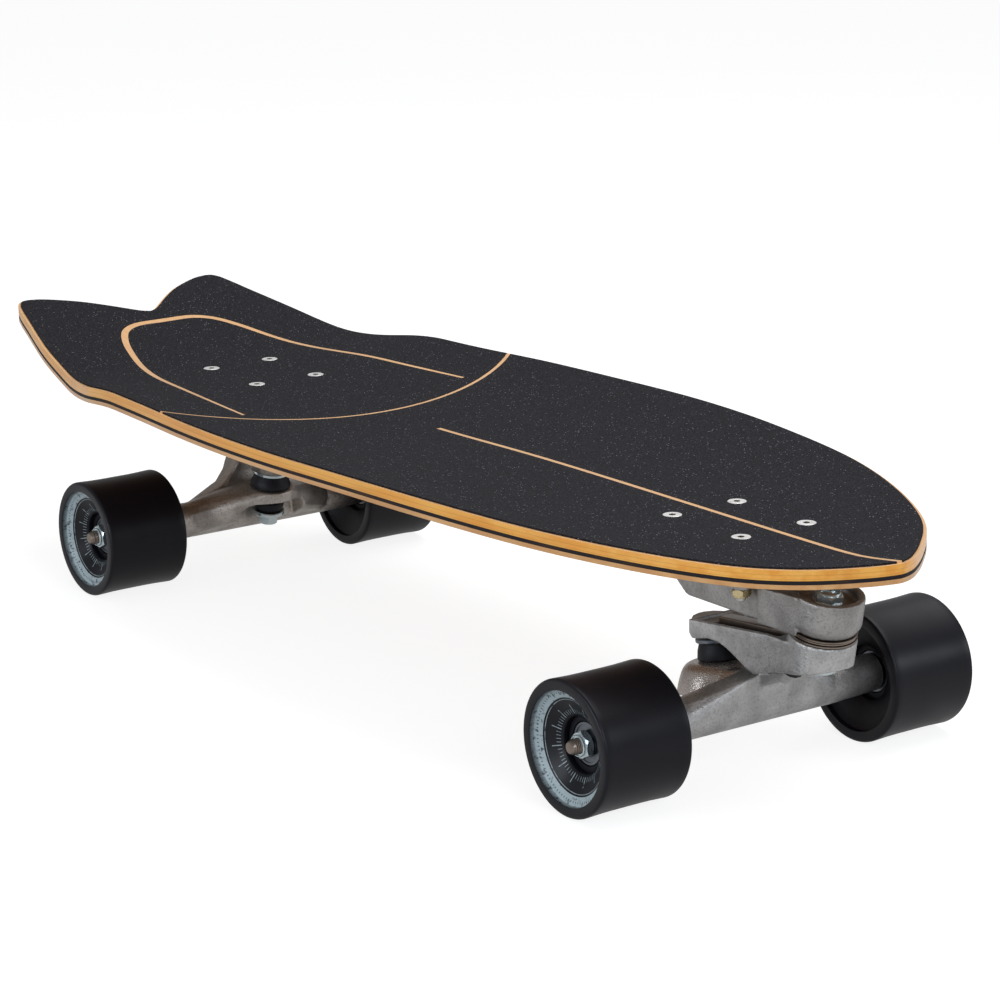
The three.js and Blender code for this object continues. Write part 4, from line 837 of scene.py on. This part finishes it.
class BOARD_OT_deck(bpy.types.Operator):
    """Makes the laminated deck with its rounded rail."""

    bl_idname = "board.deck"
    bl_label = "Deck"

    def execute(self, context):
        deck = deck_sheet("deck_board", 0, 0, DECK_THICKNESS)
        round_rim(deck, True, TOP_ROUND)
        round_rim(deck, False, BOTTOM_ROUND)
        depth = deck.data.attributes.new("ply_depth", "FLOAT", "POINT")
        for vertex in deck.data.vertices:
            below = deck_top(vertex.co.x / MM, vertex.co.y / MM) - vertex.co.z / MM
            depth.data[vertex.index].value = min(max(below / DECK_THICKNESS, 0), 1)
        dressed(deck, "deck_board", "board", "varnished_plies", "laminated_wood", "deck", angle=30)
        return {"FINISHED"}


def band_cutter(name, path, widths):
    """A wall of changing width that follows a path in plan, tall enough to cut the grip sheets."""
    sides = []
    for i, point in enumerate(path):
        along = (path[min(i + 1, len(path) - 1)] - path[max(i - 1, 0)]).normalized()
        half = Vector((-along.y, along.x)) * widths[i] / 2
        sides.append((point + half, point - half))
    points = [(side.x, side.y, height) for pair in sides for side in pair for height in CUT_HEIGHTS]
    faces = []
    for i in range(len(path) - 1):
        a, b = 4 * i, 4 * i + 4
        faces += [(a, b, b + 1, a + 1), (a + 2, a + 3, b + 3, b + 2)]
        faces += [(a, a + 2, b + 2, b), (a + 1, b + 1, b + 3, a + 3)]
    last = 4 * (len(path) - 1)
    faces += [(0, 1, 3, 2), (last, last + 2, last + 3, last + 1)]
    cutter = mesh_piece(name, points, faces)
    edit(cutter)
    close_outward()
    return cutter


def bolt_names():
    return [f"{end}_bolt_{row}_{side}" for end in ENDS for row in ("fore", "aft") for side in SIDES]


class BOARD_OT_grip(bpy.types.Operator):
    """Makes the two grip sheets with the bare lines between them."""

    bl_idname = "board.grip"
    bl_label = "Grip sheets"

    def execute(self, context):
        sheet = deck_sheet("grip_sheet", GRIP_INSET, GRIP_LIFT + GRIP_THICKNESS, GRIP_THICKNESS)
        half = curve_through(HORSESHOE_SHARES, HORSESHOE_STEPS)
        horseshoe = [Vector((point.x, -point.y)) for point in reversed(half[1:])] + half
        wide, narrow = HORSESHOE_WIDTHS
        middle = len(half) - 1
        widths = [wide + (narrow - wide) * abs(i - middle) / middle for i in range(len(horseshoe))]
        reach = math.asin((DECK_WIDTH / 2 + CUT_PAST) / LINE_RADIUS)
        centre = LINE_APEX - LINE_RADIUS
        turns = [reach * (2 * i / ARC_STEPS - 1) for i in range(ARC_STEPS + 1)]
        arc = [Vector((math.cos(turn), math.sin(turn))) * LINE_RADIUS + Vector((centre, 0)) for turn in turns]
        stringer = [Vector((STRINGER_START, 0)), Vector((DECK_LENGTH / 2 + CUT_PAST, 0))]
        bands = (
            ("line_cutter", arc, [LINE_WIDTH] * len(arc)),
            ("horseshoe_cutter", horseshoe, widths),
            ("stringer_cutter", stringer, [STRINGER_WIDTH] * 2),
        )
        cutters = [band_cutter(*band) for band in bands]
        for name in bolt_names():
            hole = turned("hole_cutter", bar_rows(HEAD_HOLE, *CUT_HEIGHTS), 32)
            cutters.append(put(hole, Matrix.Translation((*middle_of(name), 0))))
        combine(sheet, joined(*cutters), "DIFFERENCE")
        lines = deck_sheet("bare_lines", GRIP_INSET, GRIP_LIFT + GRIP_THICKNESS - LINE_DEPTH, GRIP_THICKNESS)
        combine(lines, joined(*[band_cutter(*band) for band in bands]), "INTERSECT")
        dressed(lines, "bare_lines", "board", "varnished_plies", "laminated_wood", angle=30)
        select_only(sheet)
        before = set(bpy.data.objects)
        bpy.ops.object.mode_set(mode="EDIT")
        bpy.ops.mesh.select_all(action="SELECT")
        bpy.ops.mesh.separate(type="LOOSE")
        leave_edit()
        pieces = [sheet, *(set(bpy.data.objects) - before)]
        pieces.sort(key=lambda piece: max(vertex.co.x for vertex in piece.data.vertices))
        tail, nose = pieces
        dressed(tail, "grip_sheet_tail", "board", "black_grit", "grit", "grip_tail", angle=30)
        dressed(nose, "grip_sheet_nose", "board", "black_grit", "grit", "grip_nose", angle=30)
        return {"FINISHED"}


class BOARD_OT_bolts(bpy.types.Operator):
    """Makes the deck bolts with their hexagon sockets and lock nuts."""

    bl_idname = "board.bolts"
    bl_label = "Deck bolts"

    def execute(self, context):
        for name in bolt_names():
            low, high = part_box(name)
            end = name.split("_")[0]
            nut_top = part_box(f"{end}_base_plate")[1].z / MM - NUT_DROP
            top = high.z / MM + HEAD_PROUD
            place = Matrix.Translation((*middle_of(name), 0))
            screw = put(self.screw(f"{name}_screw", low.z / MM, top, nut_top), place)
            dressed(screw, f"{name}_screw", "board", "pale_zinc", "zinc", name)
            # Painted shade: the inside of the socket gets the dark steel
            self.paint_socket_shade(screw, middle_of(name), top)
            nut = put(self.lock_nut(f"{name}_lock_nut", nut_top), place)
            dressed(nut, f"{name}_lock_nut", "board", "yellow_zinc", "zinc", name)
        return {"FINISHED"}

    def screw(self, name, bottom, top, nut_top):
        """A countersunk screw with a thread below its nut and a hexagon socket."""
        chamfer, thread_gap, thread_past = 0.5, 0.1, 4
        rows = [
            (0, bottom), (SCREW_RADIUS - chamfer, bottom), (SCREW_RADIUS, bottom + chamfer),
            *threaded(SCREW_RADIUS, bottom + chamfer + thread_gap, nut_top + thread_past, SCREW_PITCH),
            (SCREW_RADIUS, nut_top + thread_past + 1), (SCREW_RADIUS, top - HEAD_DEPTH),
            (HEAD_RADIUS - HEAD_EDGE, top - 0.5), (HEAD_RADIUS, top - 0.15),
            (HEAD_RADIUS - HEAD_EDGE, top), (0, top),
        ]
        screw = turned(name, rows, SMALL_STEPS)
        socket = turned("socket", bar_rows(SOCKET_RADIUS, top - SOCKET_DEPTH, top + 1), 6)
        combine(screw, socket, "DIFFERENCE")
        return screw

    def paint_socket_shade(self, screw, middle, top):
        """Gives the faces inside the socket the dark steel as painted shade in the recess."""
        screw.data.materials.append(finish_named("dark_steel_and_painted_shade"))
        near = 0.1
        floor = (top - SOCKET_DEPTH - 2 * near) * MM
        rim = (top - near) * MM
        for face in screw.data.polygons:
            inside = (face.center.xy - middle).length < (SOCKET_RADIUS + near) * MM
            face.material_index = 1 if inside and floor < face.center.z < rim else 0

    def lock_nut(self, name, top):
        """A yellow nut with a plain collar underneath."""
        bottom = top - NUT_HEIGHT
        edge = 0.3
        nut = hex_nut(name, NUT_FLAT, bottom, top, NUT_BORE)
        ring = rounded_ring(NUT_BORE, NUT_COLLAR, bottom - COLLAR_HEIGHT, bottom + edge, edge)
        combine(nut, turned("nut_collar", ring), "UNION")
        return nut


def tyre_profile():
    """Section of a wheel: its tread is a little hollow, and its dish is stepped into both sides."""
    flare = [(AXLE_HEIGHT - TREAD_HOLLOW * share, height) for share, height in HOLLOW_SHARES]
    corner = []
    for i in range(CORNER_STEPS + 1):
        turn = math.pi / 2 * i / CORNER_STEPS
        rise = TREAD_CORNER * (1 - math.sin(turn))
        corner.append((AXLE_HEIGHT - TREAD_CORNER * (1 - math.cos(turn)), TYRE_HALF - rise))
    dish = [(radius, TYRE_HALF - depth) for radius, depth in DISH_ROWS]
    upper = [*flare, *corner, *dish, *BEARING_SEAT_ROWS]
    lower = [(radius, -height) for radius, height in reversed(upper[1:])]
    return [*lower, *upper, lower[0]]


class BOARD_OT_wheels(bpy.types.Operator):
    """Makes the wheels, their bearings, the axles and the axle nuts."""

    bl_idname = "board.wheels"
    bl_label = "Wheels and axles"

    def execute(self, context):
        for end, x in AXLES.items():
            for side_name, side in SIDES.items():
                self.wheel(f"{end}_{side_name}", end, crosswise(x, side * WHEEL_MIDDLE, side))
            rod, place = self.axle_rows(), crosswise(x, 0, 1)
            names = (f"{end}_axle_rod", f"{end}_hanger", "plain_steel", "steel", f"{end}_axle")
            turned_piece(rod, place, *names, steps=SMALL_STEPS)
        return {"FINISHED"}

    def wheel(self, name, end, place):
        """A tyre on its hub with two bearings, and the axle nut that keeps it."""
        body = f"{name}_wheel"
        names = (f"{name}_tyre", body, f"{end}_wheel_urethane", "urethane", f"{body}_tyre")
        turned_piece(tyre_profile(), place, *names, steps=FINE_STEPS, angle=40)
        turned_piece(HUB_ROWS, place, f"{name}_hub", body, "black_hub", "hub", f"{body}_core")
        for label, way in (("outer", 1), ("inner", -1)):
            rows = [(radius, way * height) for radius, height in BEARING_ROWS]
            names = (f"{name}_race_{label}", body, "dark_steel_and_painted_shade", "steel", f"{name}_bearing_{label}")
            turned_piece(rows, place, *names)
        flat, low, high, bore, collar = 6.35, 12.6, 16.7, 4.05, 1.5
        nut = put(hex_nut(f"{name}_lock_nut", flat, low, high, bore, collar), place)
        dressed(nut, f"{name}_lock_nut", f"{end}_hanger", "bright_zinc", "zinc", f"{name}_axle_nut")

    def axle_rows(self):
        """A rod with a thread and a chamfered tip at both ends."""
        pitch = bpy.context.scene.board_sizes.thread_pitch / MM
        root = 0.05
        tip = [(0, AXLE_REACH), (2.7, AXLE_REACH), (3, AXLE_REACH - 0.3), (3.5, AXLE_REACH - 1)]
        thread = threaded(AXLE_RADIUS - root, THREAD_START, AXLE_REACH - 1.1, pitch)
        half = [*tip, *reversed(thread), (AXLE_RADIUS, THREAD_START - 0.5)]
        return [*[(radius, -height) for radius, height in half], *reversed(half)]


class BOARD_OT_castings(bpy.types.Operator):
    """Makes the cast base plates, the swivel arm and the hangers."""

    bl_idname = "board.castings"
    bl_label = "Castings"

    def execute(self, context):
        on_swivel = leaning(*SWIVEL)
        housing = put(turned("hub", SWIVEL_HOUSING_ROWS), on_swivel)
        # The front base plate gets the darker copy of the casting metal: painted shade
        casting("front_base_plate", "board", "painted_shade_base_metal", "light_casting", housing)
        collar = put(turned("hub", ARM_COLLAR_ROWS), on_swivel)
        casting("swivel_arm", "front_arm", "light_cast_metal", "light_casting", collar)
        dome = put(turned("dome", DOME_ROWS), leaning(*KINGPINS["front"]))
        stud = put(turned("stud", STUD_ROWS, 48), leaning(*PIVOT_BALL))
        rounds = (dome, stud, *self.tubes("front"))
        casting("front_hanger", "front_hanger", "light_cast_metal", "light_casting", *rounds)
        # The rear base plate gets the darkened metal: painted shade under the deck
        casting("rear_base_plate", "board", "painted_shade_rear_metal", "dark_casting")
        casting("rear_hanger", "rear_hanger", "dark_cast_metal", "dark_casting", *self.tubes("rear"))
        return {"FINISHED"}

    def tubes(self, end):
        """True round ends of a hanger's tube."""
        start = TUBE_STARTS[end]
        wide = TUBE_ROOT - TAPER_SHARE * (start - TAPER_START)
        rows = [
            (TUBE_BORE, start), (wide, start), (TUBE_ROOT, start + 1), (TUBE_TIP, HANGER_REACH),
            (TUBE_BORE, HANGER_REACH), (TUBE_BORE, start),
        ]
        return [put(turned("tube", rows), crosswise(AXLES[end], 0, side)) for side in SIDES.values()]


class BOARD_OT_kingpins(bpy.types.Operator):
    """Makes both kingpins with their bushings, cupped washers and nuts."""

    bl_idname = "board.kingpins"
    bl_label = "Kingpins"

    def execute(self, context):
        for end, stack in STACKS.items():
            body = "front_arm" if end == "front" else "board"
            place = leaning(*KINGPINS[end])
            near = stack["ring"] + SEAT_GAP
            ends = {}
            for label, way in (("upper", 1), ("lower", -1)):
                height, wide, narrow = stack[label]
                far = near + height
                ends[label] = far + 2 * SEAT_GAP + WASHER_THICKNESS
                node = f"{end}_bushing_{label}"
                rows = self.bushing_profile(wide, narrow, near, far, way)
                turned_piece(rows, place, f"{node}_urethane", body, "black_bushing", "bushing", node)
                node = f"{end}_washer_{label}"
                rows = self.washer_profile(stack["washers"][label], far + SEAT_GAP, way)
                # The front upper washer gets the dark steel as painted shade under the swivel arm; the others
                # are zinc
                plating = "dark_steel_and_painted_shade" if node == "front_washer_upper" else "bright_zinc"
                turned_piece(rows, place, f"{node}_cup", body, plating, "zinc", node)
            flat, height = stack["nut"]
            nut_top = -ends["lower"]
            nut_bottom = nut_top - height
            name = f"{end}_kingpin_lock_nut"
            nut = put(hex_nut(name, flat, nut_bottom, nut_top, KINGPIN_RADIUS + 0.1), place)
            dressed(nut, name, body, "bright_zinc", "zinc", f"{end}_kingpin_nut")
            rows = self.pin_profile(nut_bottom, nut_top, ends["upper"] + stack["grip"])
            names = (f"{end}_kingpin_rod", body, "plain_steel", "steel", f"{end}_kingpin")
            turned_piece(rows, place, *names, steps=SMALL_STEPS)
        return {"FINISHED"}

    def pin_profile(self, nut_bottom, nut_top, top):
        """A kingpin that shows a little thread below its nut."""
        chamfer, thread_gap, past = 0.6, 0.1, 1
        bottom = nut_bottom - chamfer
        return [
            (0, bottom), (3.9, bottom), (KINGPIN_RADIUS, bottom + chamfer),
            *threaded(KINGPIN_RADIUS, bottom + chamfer + thread_gap, nut_top + past, KINGPIN_PITCH),
            (KINGPIN_RADIUS, nut_top + 1.5 * past), (KINGPIN_RADIUS, top), (0, top),
        ]

    def bushing_profile(self, wide, narrow, near, far, way):
        """A bushing that is wide at the ring, barrelled and rounded at its far end."""
        middle = (wide + narrow) / 2 + 0.4
        rows = [
            (BUSHING_BORE, near), (wide - 0.7, near), (wide - 0.1, near + 0.5), (wide, near + 1.2),
            (middle, (near + far) / 2), (narrow + 0.1, far - 1), (narrow - 0.3, far - 0.3),
            (narrow - 0.9, far), (BUSHING_BORE, far), (BUSHING_BORE, near),
        ]
        return [(radius, way * height) for radius, height in rows]

    def washer_profile(self, radius, start, way):
        """A cup washer: its rim turns back over the bushing."""
        top, lip = start + WASHER_THICKNESS, start - WASHER_LIP
        bore = KINGPIN_RADIUS + 0.2
        rows = [
            (bore, start), (radius - 1.5, start), (radius - 1.1, start - 0.3), (radius - 1, lip),
            (radius - 0.4, lip - 0.05), (radius, lip + 0.4), (radius, top - 0.9), (radius - 0.5, top - 0.2),
            (radius - 1.2, top), (bore, top), (bore, start),
        ]
        return [(ring, way * height) for ring, height in rows]


class BOARD_OT_swivel(bpy.types.Operator):
    """Makes the swivel's bolt, nut and thrust rings, and the sprung follower."""

    bl_idname = "board.swivel"
    bl_label = "Swivel"

    def execute(self, context):
        place = leaning(*SWIVEL)
        rows = [*PIVOT_BOLT_ROWS, *threaded(5, 12, 19.5, KINGPIN_PITCH), *PIVOT_TIP_ROWS]
        pin = turned("pivot_bolt", rows)
        combine(pin, turned("socket", bar_rows(3.6, -21, -18), 6), "DIFFERENCE")
        dressed(put(pin, place), "front_pivot_screw", "board", "bright_zinc", "zinc", "front_pivot_bolt")
        bore, bottom = 5.05, 15.9
        nut = hex_nut("pivot_nut", 6.4, bottom, 20.6, bore, 0.9)
        flange = rounded_ring(bore, 7.6, bottom - 0.1, bottom + 1.3, 0.4)
        combine(nut, turned("flange", flange), "UNION")
        dressed(put(nut, place), "front_pivot_lock_nut", "board", "bright_zinc", "zinc", "front_pivot_nut")
        for node, (radius, low, body) in THRUST_RINGS.items():
            rows = rounded_ring(THRUST_BORE, radius, low, low + THRUST_HEIGHT, 0.15)
            turned_piece(rows, place, f"{node}_ring", body, "plain_steel", "steel", node, steps=96)
        along = leaning(*FOLLOWER) @ Matrix.Rotation(math.pi / 2, 4, "Y")
        bar, coil = put(self.bar(), along), put(self.coil(), along)
        dressed(bar, "swivel_follower_bar", "front_arm", "plain_steel", "steel", "swivel_follower")
        dressed(coil, "swivel_coil_spring", "front_arm", "bright_zinc", "steel", "swivel_spring")
        return {"FINISHED"}

    def bar(self):
        """A square bar with broken edges that slides in the arm, bored for its spring."""
        depth, width, length = 7.4, 8.4, 64.1
        bpy.ops.mesh.primitive_cube_add(size=1, location=(0, 0, length / 2 * MM))
        bar = bpy.context.object
        bar.scale = (depth * MM, width * MM, length * MM)
        bpy.ops.object.transform_apply(location=True, rotation=True, scale=True)
        apply_modifier(bar, "BEVEL", width=0.7 * MM, segments=3)
        combine(bar, turned("bore", bar_rows(2.8, -1, 30), SMALL_STEPS), "DIFFERENCE")
        return bar

    def coil(self):
        """The coil spring in the bar's bore, with both ends of its wire closed."""
        wire, radius, length, turns, steps = 0.5, 1.9, 27, 9, 24
        bpy.ops.mesh.primitive_circle_add(
            vertices=10, radius=wire * MM, location=(radius * MM, 0, wire * MM), rotation=(math.pi / 2, 0, 0)
        )
        coil = bpy.context.object
        bpy.ops.object.transform_apply(location=True, rotation=True, scale=True)
        apply_modifier(
            coil, "SCREW", angle=2 * math.pi * turns, screw_offset=length * MM, steps=steps * turns,
            render_steps=steps * turns, axis="Z", use_merge_vertices=False,
        )
        edit(coil)
        bpy.ops.mesh.select_all(action="DESELECT")
        bpy.ops.mesh.select_non_manifold(extend=False)
        bpy.ops.mesh.edge_face_add()
        close_outward()
        return coil


class BOARD_OT_carried(bpy.types.Operator):
    """Gives the solids that stay in view their own finishes."""

    bl_idname = "board.carried"
    bl_label = "Carried solids"

    def execute(self, context):
        for end in ENDS:
            cup = NODES[f"{end}_pivot_cup"]
            cup.data.materials.clear()
            cup.data.materials.append(finish_named("black_bushing"))
        return {"FINISHED"}


class BOARD_OT_stage(bpy.types.Operator):
    """Makes the floor, the lamps and the camera."""

    bl_idname = "board.stage"
    bl_label = "Stage"

    def execute(self, context):
        self.floor()
        self.world()
        for name, energy, size, place, aim in (
            ("overhead", 20, (1.9, 1.2), (0.1, 0.45, 1.5), (0, 0, 0.1)),
            ("front_fill", 7, (0.9, 0.7), (1.6, -0.4, 0.75), (0.25, 0, 0.07)),
            ("side_fill", 11, (1.5, 0.3), (0.1, -1.7, 0.42), (0, 0, 0.07)),
            ("far_fill", 3.5, (0.5, 0.35), (1.35, 1.35, 0.55), (0.2, 0, 0.05)),
        ):
            data = bpy.data.lights.new(name, "AREA")
            data.color = (1, 1, 1) if name == "overhead" else (0.84, 0.91, 1)
            data.shape = "RECTANGLE"
            data.energy = energy
            data.size, data.size_y = size
            lamp = bpy.data.objects.new(name, data)
            context.scene.collection.objects.link(lamp)
            lamp.location = place
            lamp.rotation_euler = (Vector(aim) - Vector(place)).to_track_quat("-Z", "Y").to_euler()
        self.camera()
        context.scene.view_settings.view_transform = "Standard"
        return {"FINISHED"}

    def floor(self):
        bpy.ops.mesh.primitive_plane_add(size=12, location=(0, 0, -0.0002))
        floor = bpy.context.object
        floor.name = "floor"
        surface = Surface(bpy.data.materials.new("pale_floor"))
        surface.finish({"Base Color": (0.3, 0.3, 0.3, 1), "Roughness": 0.9, "Specular IOR Level": 0})
        plain = Value(surface, surface.tree.nodes["Principled BSDF"].outputs[0])
        camera_ray, glossy_ray = [
            surface.value("ShaderNodeLightPath", {}, {}, name) for name in ("Is Camera Ray", "Is Glossy Ray")
        ]
        seen = camera_ray * 0.85 + glossy_ray * 0.40
        glow = surface.value("ShaderNodeEmission", {}, {"Color": (1, 1, 1, 1), "Strength": seen})
        both = surface.value("ShaderNodeAddShader", {}, {0: plain, 1: glow})
        surface.feed(surface.tree.nodes["Material Output"].inputs["Surface"], both)
        floor.data.materials.append(surface.owner)

    def world(self):
        """White where the camera sees it, and a plain soft light on the board."""
        studio = bpy.data.worlds.new("studio")
        bpy.context.scene.world = studio
        surface = Surface(studio)
        camera_ray = surface.value("ShaderNodeLightPath", {}, {}, "Is Camera Ray")
        light = surface.value("ShaderNodeBackground", {}, {"Color": (0.97, 0.98, 1, 1), "Strength": 0.38})
        white = surface.value("ShaderNodeBackground", {}, {"Color": (1, 1, 1, 1), "Strength": 1})
        mixed = surface.value("ShaderNodeMixShader", {}, {0: camera_ray, 1: light, 2: white})
        surface.feed(surface.tree.nodes["World Output"].inputs["Surface"], mixed)

    def camera(self):
        """The photograph's view: a long lens at the nose, to the right of the board."""
        turn, lift, roll = 0.96650613, 0.25581883, -0.02211399
        shift_x, shift_y, distance = -10.3149, -86.8959, 1782.6937
        focal, frame_size, sensor = 3178.64, 1000, 36
        model_x = 32
        back = Vector((math.sin(turn) * math.cos(lift), -math.cos(turn) * math.cos(lift), math.sin(lift)))
        right = Vector((0, 0, 1)).cross(back).normalized()
        up = back.cross(right)
        level = math.cos(roll) * right + math.sin(roll) * up
        upright = -math.sin(roll) * right + math.cos(roll) * up
        place = -(level * shift_x + upright * shift_y - back * distance) + Vector((model_x, 0, 0))
        data = bpy.data.cameras.new("photo_view")
        data.sensor_width = sensor
        data.lens = focal * sensor / frame_size
        data.clip_start = 0.05
        camera = bpy.data.objects.new("photo_view", data)
        bpy.context.scene.collection.objects.link(camera)
        turned_axes = Matrix((level, upright, back)).transposed().to_4x4()
        camera.matrix_world = Matrix.Translation(place * MM) @ turned_axes
        bpy.context.scene.camera = camera


class BOARD_PT_panel(bpy.types.Panel):
    """Lists the pieces of the board."""

    bl_idname = "BOARD_PT_panel"
    bl_label = "Surf skateboard"
    bl_space_type = "VIEW_3D"
    bl_region_type = "UI"
    bl_category = "Surf skateboard"

    def draw(self, context):
        for group in (context.scene.board_sizes, context.scene.board_colours):
            for name in group.__annotations__:
                self.layout.prop(group, name)
        for operator in OPERATORS:
            self.layout.operator(operator.bl_idname)


OPERATORS = (
    BOARD_OT_deck,
    BOARD_OT_grip,
    BOARD_OT_bolts,
    BOARD_OT_wheels,
    BOARD_OT_castings,
    BOARD_OT_kingpins,
    BOARD_OT_swivel,
    BOARD_OT_carried,
    BOARD_OT_stage,
)
CLASSES = (BoardSizes, BoardColours, *OPERATORS, BOARD_PT_panel)


def register():
    for item in CLASSES:
        bpy.utils.register_class(item)
    bpy.types.Scene.board_sizes = bpy.props.PointerProperty(type=BoardSizes)
    bpy.types.Scene.board_colours = bpy.props.PointerProperty(type=BoardColours)


def unregister():
    del bpy.types.Scene.board_colours
    del bpy.types.Scene.board_sizes
    for item in reversed(CLASSES):
        bpy.utils.unregister_class(item)


def main():
    register()
    for operator in OPERATORS:
        getattr(bpy.ops.board, operator.bl_idname.split(".")[1])()


if __name__ == "__main__":
    main()
